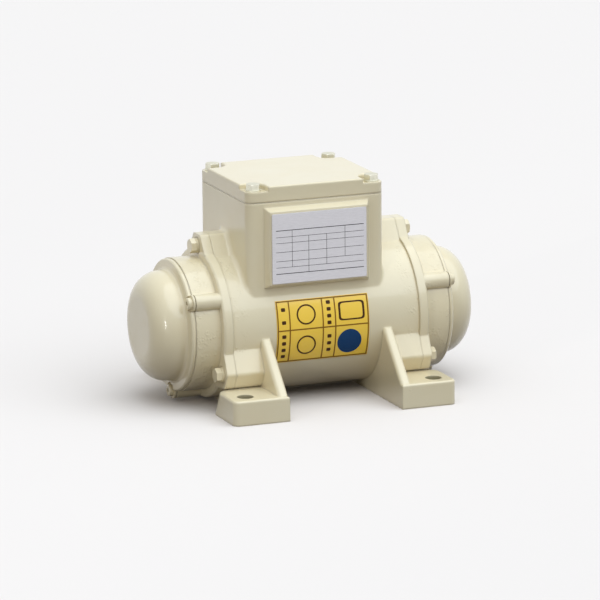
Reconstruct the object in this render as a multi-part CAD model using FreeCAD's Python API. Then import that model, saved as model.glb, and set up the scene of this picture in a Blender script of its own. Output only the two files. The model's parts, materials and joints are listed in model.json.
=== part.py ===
import FreeCAD
import Part
import math
import os

# Vibration motor on a cast foot frame. The shaft lies along X, the nameplate
# side faces -Y and +Z is up. The origin is at the middle of the foot plane.
# All sizes are millimetres, all angles are degrees.

# Clearances
PRESS_GAP = 0.03
RUNNING_GAP = 0.05
SEAT_GAP = 0.3
THREAD_GAP = 0.05

# Shaft line and main housing
SHAFT_HEIGHT = 48.5
BARREL_HALF_LENGTH = 61.6
BORE_RADIUS = 40.0
BARREL_WALL = 5.5
BARREL_RADIUS = BORE_RADIUS + BARREL_WALL

# Ears that take the bracket bolts
BOLT_OUTSET = 2.9
BOLT_CIRCLE_RADIUS = BARREL_RADIUS + BOLT_OUTSET
EAR_WALL = 7.4
EAR_TOP_RADIUS = BOLT_CIRCLE_RADIUS + EAR_WALL
EAR_TOP_HALF_WIDTH = 5.5
EAR_FLANK_ANGLE = 35.0
EAR_CORNER_RADIUS = 2.5
EAR_ANGLES = (90.0, -30.0, 210.0)
LOWER_EAR_LENGTH = 23.0

# Feet, cross rails and gussets
FOOT_INNER_X = 37.0
FOOT_OUTER_X = 73.0
FOOT_FRONT_Y = 77.0
FOOT_BACK_SLOPE = 8.0
FOOT_HEIGHT = 15.4
FOOT_FRONT_CORNER = 4.0
FOOT_BACK_CORNER = 7.0
FOOT_EDGE_RADIUS = 1.3
FOOT_HOLE_RADIUS = 5.0
FOOT_HOLE_INSET = 11.0
FOOT_HOLE_X = FOOT_OUTER_X - FOOT_HOLE_INSET
FOOT_HOLE_Y = FOOT_FRONT_Y - FOOT_HOLE_INSET
RAIL_SIDE_INSET = 1.5
RAIL_HALF_WIDTH = BARREL_RADIUS - RAIL_SIDE_INSET
RAIL_END_INSET = 3.6
FOOT_BACK_OUTSET = 1.0
FOOT_BACK_Y = RAIL_HALF_WIDTH + FOOT_BACK_OUTSET
GUSSET_WIDTH = 6.5
GUSSET_DROP = 3.5
GUSSET_TOP_Z = SHAFT_HEIGHT - GUSSET_DROP
GUSSET_STAND = 1.0
GUSSET_TOP_Y = BARREL_RADIUS + GUSSET_STAND
GUSSET_TOE = 2.0
GUSSET_EDGE_RADIUS = 2.4

# Terminal box cast on top of the housing, set back from the barrel's ends and sides
BOX_LEFT_INSET = 12.1
BOX_RIGHT_INSET = 21.1
BOX_LENGTH = 2 * BARREL_HALF_LENGTH - BOX_LEFT_INSET - BOX_RIGHT_INSET
BOX_CENTRE_X = (BOX_LEFT_INSET - BOX_RIGHT_INSET) / 2
BOX_FRONT_INSET = 5.5
BOX_BACK_INSET = 2.5
BOX_DEPTH = 2 * BARREL_RADIUS - BOX_FRONT_INSET - BOX_BACK_INSET
BOX_CENTRE_Y = (BOX_FRONT_INSET - BOX_BACK_INSET) / 2
BOX_FLOOR_THICKNESS = 8.5
BOX_FLOOR_Z = SHAFT_HEIGHT + BORE_RADIUS + BOX_FLOOR_THICKNESS
BOX_HEIGHT = 31.3
BOX_TOP_Z = BOX_FLOOR_Z + BOX_HEIGHT
BOX_CORNER_RADIUS = 5.3
BOX_INNER_RADIUS = 3.0
BOX_WALL = 4.5
BOX_ROOT_FILLET = 3.0
LID_SCREW_INSET = 6.2
LID_POST_RADIUS = 6.0
LID_POST_DEPTH = 24.0

# Raised pad with the nameplate, on the front of the terminal box
PLATE_END_INSET = 14.0
PLATE_WIDTH = BOX_LENGTH - 2 * PLATE_END_INSET
PLATE_HEIGHT = 43.5
PLATE_THICKNESS = 0.8
PLATE_CORNER_RADIUS = 0.8
PLATE_TOP_GAP = 6.25
PLATE_CENTRE_Z = BOX_TOP_Z - PLATE_TOP_GAP - PLATE_HEIGHT / 2
PAD_MARGIN = 1.1
PAD_HEIGHT = 4.5
PAD_SLOPE = 2.3

# Sticker on the barrel, between the gussets and under the box
LABEL_LEFT_GAP = 4.0
LABEL_RIGHT_GAP = 9.0
LABEL_LEFT_X = LABEL_LEFT_GAP - FOOT_INNER_X
LABEL_RIGHT_X = FOOT_INNER_X - LABEL_RIGHT_GAP
LABEL_THICKNESS = 0.25
LABEL_TOP_GAP = 2.8
LABEL_BOTTOM_ANGLE = -26.6

# Lid of the terminal box
GASKET_THICKNESS = 0.6
GASKET_INSET = 0.4
LID_HEIGHT = 9.7
LID_WALL = 3.2
LID_CORNER_DROP = 3.2
LID_NOTCH_RADIUS = 7.8
LID_EDGE_RADIUS = 1.0

# Bearing brackets: flange, then the drum that the weights turn in
FLANGE_THICKNESS = 6.2
FLANGE_LIP = 1.3
FLANGE_RADIUS = BARREL_RADIUS + FLANGE_LIP
FLANGE_CHAMFER = 1.0
DRUM_STEP = 4.0
DRUM_RADIUS = BARREL_RADIUS - DRUM_STEP
DRUM_WALL = 4.0
DRUM_LENGTH = 15.8
WEB_THICKNESS = 5.0
WEB_ROOT = 3.0
SPIGOT_LENGTH = 4.0
SPIGOT_WALL = 4.0
SPIGOT_CHAMFER = 0.5
BOLT_SEAT_DEPTH = 0.8
BOLT_SEAT_MARGIN = 0.4

# Weight covers
COVER_LENGTH = 23.1
COVER_STEP = 7.3
COVER_RADIUS = DRUM_RADIUS - COVER_STEP
COVER_DOME_RADIUS = 16.0
COVER_WALL = 2.0
COVER_FLANGE_INSET = 0.5
COVER_FLANGE_RADIUS = DRUM_RADIUS - COVER_FLANGE_INSET
COVER_FLANGE_THICKNESS = 2.4
COVER_FLANGE_CHAMFER = 0.8
COVER_ROOT_RADIUS = 2.0
COVER_ROOT_HOLLOW = 0.3
COVER_SEAL_THICKNESS = 0.5
COVER_SEAL_INSET = 0.4
COVER_SCREW_CIRCLE_RADIUS = DRUM_RADIUS
COVER_SCREW_ANGLES = (30.0, 150.0, 270.0)
COVER_SCREW_SEAT_DEPTH = 1.2
COVER_LUG_RADIUS = 5.2

# Ball bearings, 17 x 40 x 12, let a little into the ends of the barrel
BEARING_BORE_RADIUS = 8.5
BEARING_OUTER_RADIUS = 20.0
BEARING_WIDTH = 12.0
BEARING_INSET = 2.7
BEARING_LIP = 1.0
INNER_RING_RADIUS = 12.2
OUTER_RING_RADIUS = 16.4
BALL_RADIUS = 3.3
BALL_COUNT = 8
CAGE_WALL = 1.4
CAGE_WIDTH = 8.4
CAGE_POCKET_GAP = 0.2
RACE_CHAMFER = 0.6
SPRING_THICKNESS = 0.6
SPRING_RISE = 0.5
SPRING_EDGE_GAP = 0.4
HUB_WALL = 4.5
HUB_RADIUS = BEARING_OUTER_RADIUS + HUB_WALL
HUB_CHAMFER = 3.0

# Shaft and its seals
CORE_SEAT_RADIUS = 11.0
SHOULDER_RADIUS = 10.0
WEIGHT_SEAT_RADIUS = 7.5
SHAFT_STEP_GAP = 0.2
SHAFT_STUB_LENGTH = 2.9
SHAFT_END_CHAMFER = 1.0
SEAL_RADIUS = 14.0
SEAL_WIDTH = 3.6
SEAL_START_GAP = 0.2
SEAL_END_GAP = 0.6
SEAL_SKIN = 1.5
SEAL_LIP = 0.6

# Rotor and stator
CORE_END_SPACE = 31.6
CORE_HALF_LENGTH = BARREL_HALF_LENGTH - CORE_END_SPACE
STATOR_BORE_RADIUS = 22.0
AIR_GAP = 0.4
SLOT_COUNT = 24
STATOR_YOKE = 7.5
SLOT_BOTTOM_RADIUS = BORE_RADIUS - STATOR_YOKE
SLOT_TOP_RISE = 2.0
SLOT_TOP_RADIUS = STATOR_BORE_RADIUS + SLOT_TOP_RISE
SLOT_MOUTH_WIDTH = 2.2
TOOTH_WIDTH = 3.2
SLOT_LINER = 0.3
END_TURN_LENGTH = 14.0
END_TURN_CLEARANCE = 4.0
END_TURN_OUTER_RADIUS = BORE_RADIUS - END_TURN_CLEARANCE
END_TURN_INNER_RISE = 2.6
END_TURN_INNER_RADIUS = STATOR_BORE_RADIUS + END_TURN_INNER_RISE
END_TURN_ROUNDING = 4.0
BAR_COUNT = 16
BAR_RADIUS = 1.6
BAR_DEPTH = 3.4
BAR_CIRCLE_RADIUS = STATOR_BORE_RADIUS - BAR_DEPTH
END_RING_STEP = 0.6
END_RING_DEPTH = 7.5
END_RING_INNER_RADIUS = STATOR_BORE_RADIUS - END_RING_DEPTH
END_RING_LENGTH = 6.0

# Eccentric weights
WEIGHT_HUB_GAP = 1.0
FIXED_WEIGHT_THICKNESS = 8.5
MOVING_WEIGHT_THICKNESS = 8.5
WEIGHT_CLEARANCE = 4.2
WEIGHT_RADIUS = COVER_RADIUS - COVER_WALL - WEIGHT_CLEARANCE
WEIGHT_HUB_RADIUS = 12.5
WEIGHT_HALF_ANGLE = 78.0
CLAMP_SLOT = 2.0
CLAMP_LUG_HALF_WIDTH = 9.0
CLAMP_LUG_TOP = 18.5
CLAMP_LUG_CORNER = 2.0
CLAMP_BOLT_HEIGHT = 13.4
CLAMP_BOLT_RADIUS = 2.0
CLAMP_HEAD_RADIUS = 3.4
CLAMP_HEAD = 4.0
CLAMP_BOLT_SHORT = 1.0
CLAMP_DRIVE_FLATS = 3.0
CLAMP_DRIVE_DEPTH = 2.0
KEY_WIDTH = 5.0
KEY_HEIGHT = 3.0
KEY_STAND = 1.4
KEY_CUT = 1.0
CLIP_THICKNESS = 1.0
CLIP_START_GAP = 0.1
CLIP_GROOVE_DEPTH = 0.8
CLIP_REACH = 2.0
CLIP_OPENING = 3.6

# Screws: thread radius, head radius or width across flats, head height
M5_RADIUS = 2.5
M5_FLATS = 8.0
M5_HEAD = 3.5
HEX_TOP_SHARE = 0.9
M5_WASHER_RADIUS = 5.0
M5_WASHER_THICKNESS = 1.0
M5_HOLE_RADIUS = 2.75
M5_COLLAR_RADIUS = 4.7
SPRING_WASHER_RADIUS = 4.5
SPRING_WASHER_THICKNESS = 1.2
SPRING_WASHER_SPLIT = 0.8
BRACKET_BOLT_LENGTH = 18.0
LID_SCREW_LENGTH = 18.0
M4_RADIUS = 2.0
M4_HEAD_RADIUS = 3.7
M4_HEAD = 2.8
M4_HEAD_ROUNDING = 0.9
M4_HOLE_RADIUS = 2.25
M4_DRIVE_FLATS = 2.5
M4_DRIVE_DEPTH = 1.6
M4_SLOT = 1.0
COVER_SCREW_LENGTH = 12.0
TAP_EXTRA_DEPTH = 2.0

# Cable gland in the back wall of the terminal box
GLAND_RIGHT_INSET = 24.0
GLAND_THREAD_RADIUS = 8.0
GLAND_FLATS = 22.0
GLAND_FLANGE_LENGTH = 6.0
GLAND_THREAD_LENGTH = 8.0
GLAND_COLLAR_LENGTH = 8.0
GLAND_NUT_LENGTH = 15.0
GLAND_NUT_GRIP = 8.2
GLAND_NUT_WALL = 2.4
GLAND_NUT_END_WALL = 2.2
GLAND_BORE_RADIUS = 4.5
GLAND_SEAL_RADIUS = 6.4
GLAND_SEAL_SEAT = 2.0
GLAND_SEAL_STAND = 3.0
LOCKNUT_THICKNESS = 4.0
LOCKNUT_FLATS = 21.0

# Things inside the terminal box, each placed from the box's walls
CAPACITOR_RADIUS = 10.0
CAPACITOR_LENGTH = 42.0
CAPACITOR_END_GAP = 4.0
CAPACITOR_POST_GAP = 0.5
CAPACITOR_CAP_LENGTH = 3.0
CAPACITOR_CAP_STEP = 1.0
TAB_LENGTH = 6.0
TAB_WIDTH = 6.0
TAB_THICKNESS = 0.8
TAB_OFFSET = 4.0
CLIP_BAND = 0.8
CLIP_WIDTH = 12.0
CLIP_OPEN_HALF_WIDTH = 7.0
CLIP_FOOT_HALF_WIDTH = 6.0
BLOCK_LENGTH = 36.0
BLOCK_DEPTH = 14.0
BLOCK_HEIGHT = 12.0
BLOCK_END_GAP = 3.0
BLOCK_POST_GAP = 1.8
BLOCK_POLES = 4
BLOCK_RIB = 1.6
BLOCK_STEP = 4.0
BLOCK_SCREW_RADIUS = 3.2
BLOCK_SCREW_HEAD = 2.2
EARTH_INSET = 10.0
EARTH_WASHER_THICKNESS = 1.0
EARTH_HEAD = 2.4
EARTH_HOLE_DEPTH = 5.0
LEAD_HOLE_RADIUS = 4.5
LEAD_WIRE_RADIUS = 0.9
LEAD_WIRE_COUNT = 3
LEAD_WIRE_PITCH = 2.2
LEAD_WIRE_BEND = 4.0
LEAD_WIRE_RISE = 6.0
GROMMET_LIP = 1.5
GROMMET_BORE_RADIUS = 3.3
GROMMET_BOTTOM_GAP = 0.6




def vec(x, y, z):
    return FreeCAD.Vector(x, y, z)


X_AXIS = vec(1, 0, 0)
Y_AXIS = vec(0, 1, 0)
Z_AXIS = vec(0, 0, 1)


def around_shaft(angle, radius):
    """Return y and z of a point at a radius from the shaft line.

    The angle is measured from the front, upwards."""
    turn = math.radians(angle)
    return -radius * math.cos(turn), SHAFT_HEIGHT + radius * math.sin(turn)


def rod_x(radius, x_from, x_to, y=0.0, z=SHAFT_HEIGHT):
    return Part.makeCylinder(radius, x_to - x_from, vec(x_from, y, z), X_AXIS)


def rod_y(radius, y_from, y_to, x, z):
    return Part.makeCylinder(radius, y_to - y_from, vec(x, y_from, z), Y_AXIS)


def rod_z(radius, z_from, z_to, x, y):
    return Part.makeCylinder(radius, z_to - z_from, vec(x, y, z_from), Z_AXIS)


def ring_x(outer, inner, x_from, x_to, y=0.0, z=SHAFT_HEIGHT):
    return rod_x(outer, x_from, x_to, y, z).cut(rod_x(inner, x_from, x_to, y, z))


def block(x_from, x_to, y_from, y_to, z_from, z_to):
    size = (x_to - x_from, y_to - y_from, z_to - z_from)
    return Part.makeBox(size[0], size[1], size[2], vec(x_from, y_from, z_from))


def polygon_face(points):
    return Part.Face(Part.makePolygon(points + [points[0]]))


def turned(profile):
    """Revolve a closed outline of (x, radius) points about the shaft line."""
    points = [vec(x, 0, SHAFT_HEIGHT + radius) for x, radius in profile]
    return polygon_face(points).revolve(vec(0, 0, SHAFT_HEIGHT), X_AXIS, 360)


def hexagon(flats, height, base, axis):
    """Make a hexagonal prism that stands on base along axis."""
    corner = flats / math.sqrt(3)
    points = []
    for k in range(6):
        turn = math.radians(60 * k)
        points.append(vec(corner * math.cos(turn), corner * math.sin(turn), 0))
    solid = polygon_face(points).extrude(vec(0, 0, height))
    solid.rotate(vec(0, 0, 0), *turn_from_z(axis))
    solid.translate(base)
    return solid


def turn_from_z(axis):
    rotation = FreeCAD.Rotation(Z_AXIS, axis)
    return rotation.Axis, math.degrees(rotation.Angle)


def mirrored_x(shape):
    return shape.mirror(vec(0, 0, 0), X_AXIS)


def mirrored_y(shape):
    return shape.mirror(vec(0, 0, 0), Y_AXIS)


def united(shapes):
    result = shapes[0]
    for shape in shapes[1:]:
        result = result.fuse(shape)
    return result.removeSplitter()


def rounded_block(length, depth, radius, z_from, z_to):
    """Make a block on the terminal box's centre line with round upright corners."""
    x_half = length / 2
    y_half = depth / 2
    solid = block(
        BOX_CENTRE_X - x_half, BOX_CENTRE_X + x_half,
        BOX_CENTRE_Y - y_half, BOX_CENTRE_Y + y_half, z_from, z_to,
    )
    return solid.makeFillet(radius, edges_along(solid, Z_AXIS))


def edges_along(shape, axis):
    found = []
    for edge in shape.Edges:
        if edge.Curve.TypeId != "Part::GeomLine":
            continue
        if abs(abs(edge.Curve.Direction.dot(axis)) - 1) < 1e-6:
            found.append(edge)
    return found


def edges_at_z(shape, z):
    found = []
    for edge in shape.Edges:
        box = edge.BoundBox
        if abs(box.ZMin - z) < 1e-4 and abs(box.ZMax - z) < 1e-4:
            found.append(edge)
    return found


# Cast housing


def ear_prism(angle, x_from, x_to, reach=EAR_TOP_RADIUS):
    """Make the boss of one bracket bolt: flat top, sloping flanks, round corners."""
    depth = reach - (BORE_RADIUS + PRESS_GAP)
    spread = depth * math.tan(math.radians(EAR_FLANK_ANGLE))
    half = EAR_TOP_HALF_WIDTH
    outline = [
        (-half - spread, reach - depth), (-half, reach),
        (half, reach), (half + spread, reach - depth),
    ]
    points = [vec(x_from, across, SHAFT_HEIGHT + up) for across, up in outline]
    solid = polygon_face(points).extrude(vec(x_to - x_from, 0, 0))
    top = [e for e in edges_along(solid, X_AXIS) if e.BoundBox.ZMin > SHAFT_HEIGHT + reach - 0.01]
    solid = solid.makeFillet(EAR_CORNER_RADIUS, top)
    solid.rotate(vec(0, 0, SHAFT_HEIGHT), X_AXIS, 90 - angle)
    return solid


def foot_corner(solid, top_y):
    """Find the outer upright edge of a foot that ends at top_y."""
    found = []
    for edge in solid.Edges:
        box = edge.BoundBox
        upright = box.XMin > FOOT_OUTER_X - 0.01 and box.ZLength > FOOT_HEIGHT / 2
        if upright and abs(box.YMin - top_y) < 0.01:
            found.append(edge)
    return found


def front_right_foot():
    """Make one foot, with its back face sloping out towards the ground."""
    outline = [
        (-FOOT_FRONT_Y, 0), (-FOOT_BACK_Y + FOOT_BACK_SLOPE, 0),
        (-FOOT_BACK_Y, FOOT_HEIGHT), (-FOOT_FRONT_Y, FOOT_HEIGHT),
    ]
    points = [vec(FOOT_INNER_X, y, z) for y, z in outline]
    solid = polygon_face(points).extrude(vec(FOOT_OUTER_X - FOOT_INNER_X, 0, 0))
    solid = solid.makeFillet(FOOT_FRONT_CORNER, foot_corner(solid, -FOOT_FRONT_Y))
    solid = solid.makeFillet(FOOT_BACK_CORNER, foot_corner(solid, -FOOT_BACK_Y))
    return solid.makeFillet(FOOT_EDGE_RADIUS, edges_at_z(solid, FOOT_HEIGHT))


def front_right_gusset():
    """Make the sloping rib between a foot and the barrel."""
    outline = [
        (-FOOT_FRONT_Y + GUSSET_TOE, FOOT_HEIGHT - FOOT_EDGE_RADIUS),
        (-FOOT_FRONT_Y + GUSSET_TOE, FOOT_HEIGHT),
        (-GUSSET_TOP_Y, GUSSET_TOP_Z),
        (-RAIL_HALF_WIDTH + GUSSET_WIDTH, GUSSET_TOP_Z),
        (-RAIL_HALF_WIDTH + GUSSET_WIDTH, FOOT_HEIGHT - FOOT_EDGE_RADIUS),
    ]
    points = [vec(FOOT_INNER_X, y, z) for y, z in outline]
    solid = polygon_face(points).extrude(vec(GUSSET_WIDTH, 0, 0))
    sloping = [
        e for e in solid.Edges
        if e.BoundBox.XLength < 0.01 and e.BoundBox.YLength > 5 and e.BoundBox.ZLength > 5
    ]
    return solid.makeFillet(GUSSET_EDGE_RADIUS, sloping)


def rail():
    """Make the cross rail that joins the front and back foot of one end."""
    end = BARREL_HALF_LENGTH - RAIL_END_INSET
    return block(FOOT_INNER_X, end, -RAIL_HALF_WIDTH, RAIL_HALF_WIDTH, 0, SHAFT_HEIGHT)


def box_front_y():
    return BOX_CENTRE_Y - BOX_DEPTH / 2


def box_back_y():
    return BOX_CENTRE_Y + BOX_DEPTH / 2


def nameplate_pad():
    """Make the raised pad with sloping sides on the front of the terminal box."""
    sections = []
    for rise, grow in ((-BOX_WALL / 2, PAD_SLOPE), (0.0, PAD_SLOPE), (PAD_HEIGHT, 0.0)):
        x_half = PLATE_WIDTH / 2 + PAD_MARGIN + grow
        z_half = PLATE_HEIGHT / 2 + PAD_MARGIN + grow
        y = box_front_y() - rise
        corners = []
        for sx, sz in ((-1, -1), (1, -1), (1, 1), (-1, 1)):
            corners.append(vec(BOX_CENTRE_X + sx * x_half, y, PLATE_CENTRE_Z + sz * z_half))
        sections.append(Part.makePolygon(corners + [corners[0]]))
    return Part.makeLoft(sections, True, True)


def lid_screw_places():
    x_half = BOX_LENGTH / 2 - LID_SCREW_INSET
    y_half = BOX_DEPTH / 2 - LID_SCREW_INSET
    places = []
    for sx in (-1, 1):
        for sy in (-1, 1):
            places.append((sx, sy, BOX_CENTRE_X + sx * x_half, BOX_CENTRE_Y + sy * y_half))
    return places


def box_hollow(z_from, z_to):
    """Make the room between the walls of the terminal box."""
    return rounded_block(
        BOX_LENGTH - 2 * BOX_WALL, BOX_DEPTH - 2 * BOX_WALL, BOX_INNER_RADIUS, z_from, z_to,
    )


def box_cavity():
    """Make the hollow of the terminal box, less the posts of the lid screws."""
    hollow = box_hollow(BOX_FLOOR_Z, BOX_TOP_Z)
    for sx, sy, x, y in lid_screw_places():
        post = rod_z(LID_POST_RADIUS, BOX_TOP_Z - LID_POST_DEPTH, BOX_TOP_Z, x, y)
        hollow = hollow.cut(post)
    return hollow


def box_root_edges(body):
    """Find the edges where the terminal box grows out of the barrel and the upper ears."""
    found = []
    for edge in body.Edges:
        middle = edge.valueAt((edge.FirstParameter + edge.LastParameter) / 2)
        off = math.hypot(middle.y, middle.z - SHAFT_HEIGHT)
        at_barrel = abs(off - BARREL_RADIUS) < 0.01
        at_ear = off > BARREL_RADIUS and abs(middle.y) < BARREL_RADIUS / 2
        from_centre = abs(middle.x - BOX_CENTRE_X) - BOX_LENGTH / 2
        on_end = abs(from_centre) < 0.01 and edge.BoundBox.XLength < 0.01
        below = middle.z < SHAFT_HEIGHT + EAR_TOP_RADIUS + 0.01
        if at_barrel and from_centre < 0.01 and edge.BoundBox.ZMin > SHAFT_HEIGHT + 1:
            found.append(edge)
        elif on_end and at_ear and below:
            found.append(edge)
    return found


def bracket_room():
    """Make the room that the feet leave free for the right bracket and its bolts."""
    start = BARREL_HALF_LENGTH
    end = drum_end_x()
    pieces = [rod_x(FLANGE_RADIUS + SEAT_GAP, start, end)]
    for angle in EAR_ANGLES:
        pieces.append(ear_prism(angle, start, end, EAR_TOP_RADIUS + SEAT_GAP))
    return united(pieces)


def motor_housing():
    """Make the casting: barrel, terminal box, ears, gussets, rails and feet."""
    barrel = rod_x(BARREL_RADIUS, -BARREL_HALF_LENGTH, BARREL_HALF_LENGTH)
    box = rounded_block(BOX_LENGTH, BOX_DEPTH, BOX_CORNER_RADIUS, SHAFT_HEIGHT, BOX_TOP_Z)
    pieces = [barrel, box]
    for side in (1, -1):
        end = side * BARREL_HALF_LENGTH
        wall = BOX_CENTRE_X + side * (BOX_LENGTH / 2 - BOX_WALL)
        pieces.append(ear_prism(EAR_ANGLES[0], min(wall, end), max(wall, end)))
    body = united(pieces)
    body = body.makeFillet(BOX_ROOT_FILLET, box_root_edges(body))
    pieces = [body, nameplate_pad()]
    for side in (1, -1):
        end = side * BARREL_HALF_LENGTH
        start = end - side * LOWER_EAR_LENGTH
        for angle in EAR_ANGLES[1:]:
            pieces.append(ear_prism(angle, min(start, end), max(start, end)))
    corner = [front_right_foot(), front_right_gusset(), rail()]
    for shape in corner:
        pieces.append(shape)
        pieces.append(mirrored_x(shape))
    for shape in corner[:2]:
        pieces.append(mirrored_y(shape))
        pieces.append(mirrored_x(mirrored_y(shape)))
    body = united(pieces)
    room = bracket_room()
    body = body.cut(room).cut(mirrored_x(room))
    body = body.cut(rod_x(BORE_RADIUS, -BARREL_HALF_LENGTH, BARREL_HALF_LENGTH))
    body = body.cut(box_cavity())
    for tool in housing_holes():
        body = body.cut(tool)
    return body


def housing_holes():
    """List the drilled holes of the casting."""
    tools = []
    for sx in (-1, 1):
        for sy in (-1, 1):
            tools.append(rod_z(FOOT_HOLE_RADIUS, 0, FOOT_HEIGHT, sx * FOOT_HOLE_X, sy * FOOT_HOLE_Y))
    depth = BRACKET_BOLT_LENGTH - bracket_bolt_grip() + TAP_EXTRA_DEPTH
    for angle in EAR_ANGLES:
        y, z = around_shaft(angle, BOLT_CIRCLE_RADIUS)
        hole = rod_x(M5_RADIUS, BARREL_HALF_LENGTH - depth, BARREL_HALF_LENGTH, y, z)
        tools.append(hole)
        tools.append(mirrored_x(hole))
    grip = LID_SCREW_LENGTH - lid_grip() + TAP_EXTRA_DEPTH
    for sx, sy, x, y in lid_screw_places():
        tools.append(rod_z(M5_RADIUS, BOX_TOP_Z - grip, BOX_TOP_Z, x, y))
    tools.append(rod_z(LEAD_HOLE_RADIUS, SHAFT_HEIGHT, BOX_FLOOR_Z, lead_hole_x(), BOX_CENTRE_Y))
    wall_start = box_back_y() - BOX_WALL
    gland_hole = GLAND_THREAD_RADIUS + THREAD_GAP
    tools.append(rod_y(gland_hole, wall_start, box_back_y(), gland_x(), gland_z()))
    tools.append(rod_z(M4_RADIUS, BOX_FLOOR_Z - EARTH_HOLE_DEPTH, BOX_FLOOR_Z, earth_x(), BOX_CENTRE_Y))
    return tools


# Terminal box lid, gasket and screws


def lid_floor_z():
    return BOX_TOP_Z + GASKET_THICKNESS + LID_HEIGHT - LID_CORNER_DROP


def lid_grip():
    """Return how much of a lid screw lies above the top of the box."""
    return M5_WASHER_THICKNESS + LID_HEIGHT - LID_CORNER_DROP + GASKET_THICKNESS


def terminal_box_lid():
    bottom = BOX_TOP_Z + GASKET_THICKNESS
    top = bottom + LID_HEIGHT
    lid = rounded_block(BOX_LENGTH, BOX_DEPTH, BOX_CORNER_RADIUS, bottom, top)
    hollow = box_hollow(bottom, top - LID_WALL)
    for sx, sy, x, y in lid_screw_places():
        hollow = hollow.cut(rod_z(LID_NOTCH_RADIUS + LID_WALL, bottom, top, x, y))
    for sx, sy, x, y in lid_screw_places():
        notch = rod_z(LID_NOTCH_RADIUS, lid_floor_z(), top, x, y)
        outward = block(
            min(x, x + sx * 2 * LID_NOTCH_RADIUS), max(x, x + sx * 2 * LID_NOTCH_RADIUS),
            y - LID_NOTCH_RADIUS, y + LID_NOTCH_RADIUS, lid_floor_z(), top,
        )
        forward = block(
            x - LID_NOTCH_RADIUS, x + LID_NOTCH_RADIUS,
            min(y, y + sy * 2 * LID_NOTCH_RADIUS), max(y, y + sy * 2 * LID_NOTCH_RADIUS),
            lid_floor_z(), top,
        )
        lid = lid.cut(notch.fuse(outward).fuse(forward))
    lid = lid.makeFillet(LID_EDGE_RADIUS, edges_at_z(lid, top))
    lid = lid.cut(hollow)
    for sx, sy, x, y in lid_screw_places():
        lid = lid.cut(rod_z(M5_HOLE_RADIUS, bottom, top, x, y))
    return lid


def lid_gasket():
    top = BOX_TOP_Z + GASKET_THICKNESS
    gasket = rounded_block(
        BOX_LENGTH - 2 * GASKET_INSET, BOX_DEPTH - 2 * GASKET_INSET,
        BOX_CORNER_RADIUS - GASKET_INSET, BOX_TOP_Z, top,
    )
    hollow = box_hollow(BOX_TOP_Z, top)
    for sx, sy, x, y in lid_screw_places():
        hollow = hollow.cut(rod_z(LID_POST_RADIUS, BOX_TOP_Z, top, x, y))
    gasket = gasket.cut(hollow)
    for sx, sy, x, y in lid_screw_places():
        gasket = gasket.cut(rod_z(M5_HOLE_RADIUS, BOX_TOP_Z, top, x, y))
    return gasket


def hex_screw(radius, flats, head, washer_radius, washer, length, base, axis):
    """Make a flanged hex screw. Base is the seat and axis points to the head."""
    solid = hexagon(flats, head, base + axis * washer, axis)
    solid = solid.common(rounded_head(flats, head, base + axis * washer, axis))
    solid = solid.fuse(Part.makeCylinder(washer_radius, washer, base, axis))
    shank = Part.makeCylinder(radius - THREAD_GAP, length, base - axis * length, axis)
    return solid.fuse(shank).removeSplitter()


def rounded_head(flats, head, base, axis):
    """Make the cone that chamfers the corners of a hex head, to a share of their reach at the top."""
    corner = flats / math.sqrt(3)
    reach = corner + head
    return Part.makeCone(reach, corner * HEX_TOP_SHARE, head, base, axis)


def lid_screws():
    solids = []
    for sx, sy, x, y in lid_screw_places():
        seat = vec(x, y, lid_floor_z())
        solids.append(hex_screw(
            M5_RADIUS, M5_FLATS, M5_HEAD, M5_COLLAR_RADIUS, M5_WASHER_THICKNESS,
            LID_SCREW_LENGTH - M5_WASHER_THICKNESS, seat, Z_AXIS,
        ))
    return Part.makeCompound(solids)


def nameplate():
    y = box_front_y() - PAD_HEIGHT
    plate = block(
        BOX_CENTRE_X - PLATE_WIDTH / 2, BOX_CENTRE_X + PLATE_WIDTH / 2,
        y - PLATE_THICKNESS, y,
        PLATE_CENTRE_Z - PLATE_HEIGHT / 2, PLATE_CENTRE_Z + PLATE_HEIGHT / 2,
    )
    return plate.makeFillet(PLATE_CORNER_RADIUS, edges_along(plate, Y_AXIS))


def barrel_label():
    """Make the sticker, which ends just under the fillet of the terminal box."""
    inner = BARREL_RADIUS + PRESS_GAP
    outer = inner + LABEL_THICKNESS
    bottom = LABEL_BOTTOM_ANGLE
    fillet_end = math.acos((BOX_ROOT_FILLET - box_front_y()) / (BOX_ROOT_FILLET + BARREL_RADIUS))
    top = math.degrees(fillet_end - LABEL_TOP_GAP / BARREL_RADIUS)
    corners = []
    for radius, angle in ((inner, bottom), (outer, bottom), (outer, top), (inner, top)):
        corners.append(vec(LABEL_LEFT_X, *around_shaft(angle, radius)))
    middle = (top + bottom) / 2
    outer_middle = vec(LABEL_LEFT_X, *around_shaft(middle, outer))
    inner_middle = vec(LABEL_LEFT_X, *around_shaft(middle, inner))
    wire = Part.Wire([
        Part.LineSegment(corners[0], corners[1]).toShape(),
        Part.Arc(corners[1], outer_middle, corners[2]).toShape(),
        Part.LineSegment(corners[2], corners[3]).toShape(),
        Part.Arc(corners[3], inner_middle, corners[0]).toShape(),
    ])
    return Part.Face(wire).extrude(vec(LABEL_RIGHT_X - LABEL_LEFT_X, 0, 0))


# Bearing brackets, covers and their screws


def bearing_inner_x():
    return BARREL_HALF_LENGTH - BEARING_INSET


def bearing_end_x():
    return bearing_inner_x() + BEARING_WIDTH


def hub_shoulder_x():
    """Return the shoulder that the disc spring and the outer ring rest on."""
    return bearing_end_x() + SPRING_THICKNESS + SPRING_RISE


def hub_end_x():
    return hub_shoulder_x() + SEAL_START_GAP + SEAL_WIDTH + SEAL_END_GAP


def flange_end_x():
    return BARREL_HALF_LENGTH + FLANGE_THICKNESS


def drum_end_x():
    return flange_end_x() + DRUM_LENGTH


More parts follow.
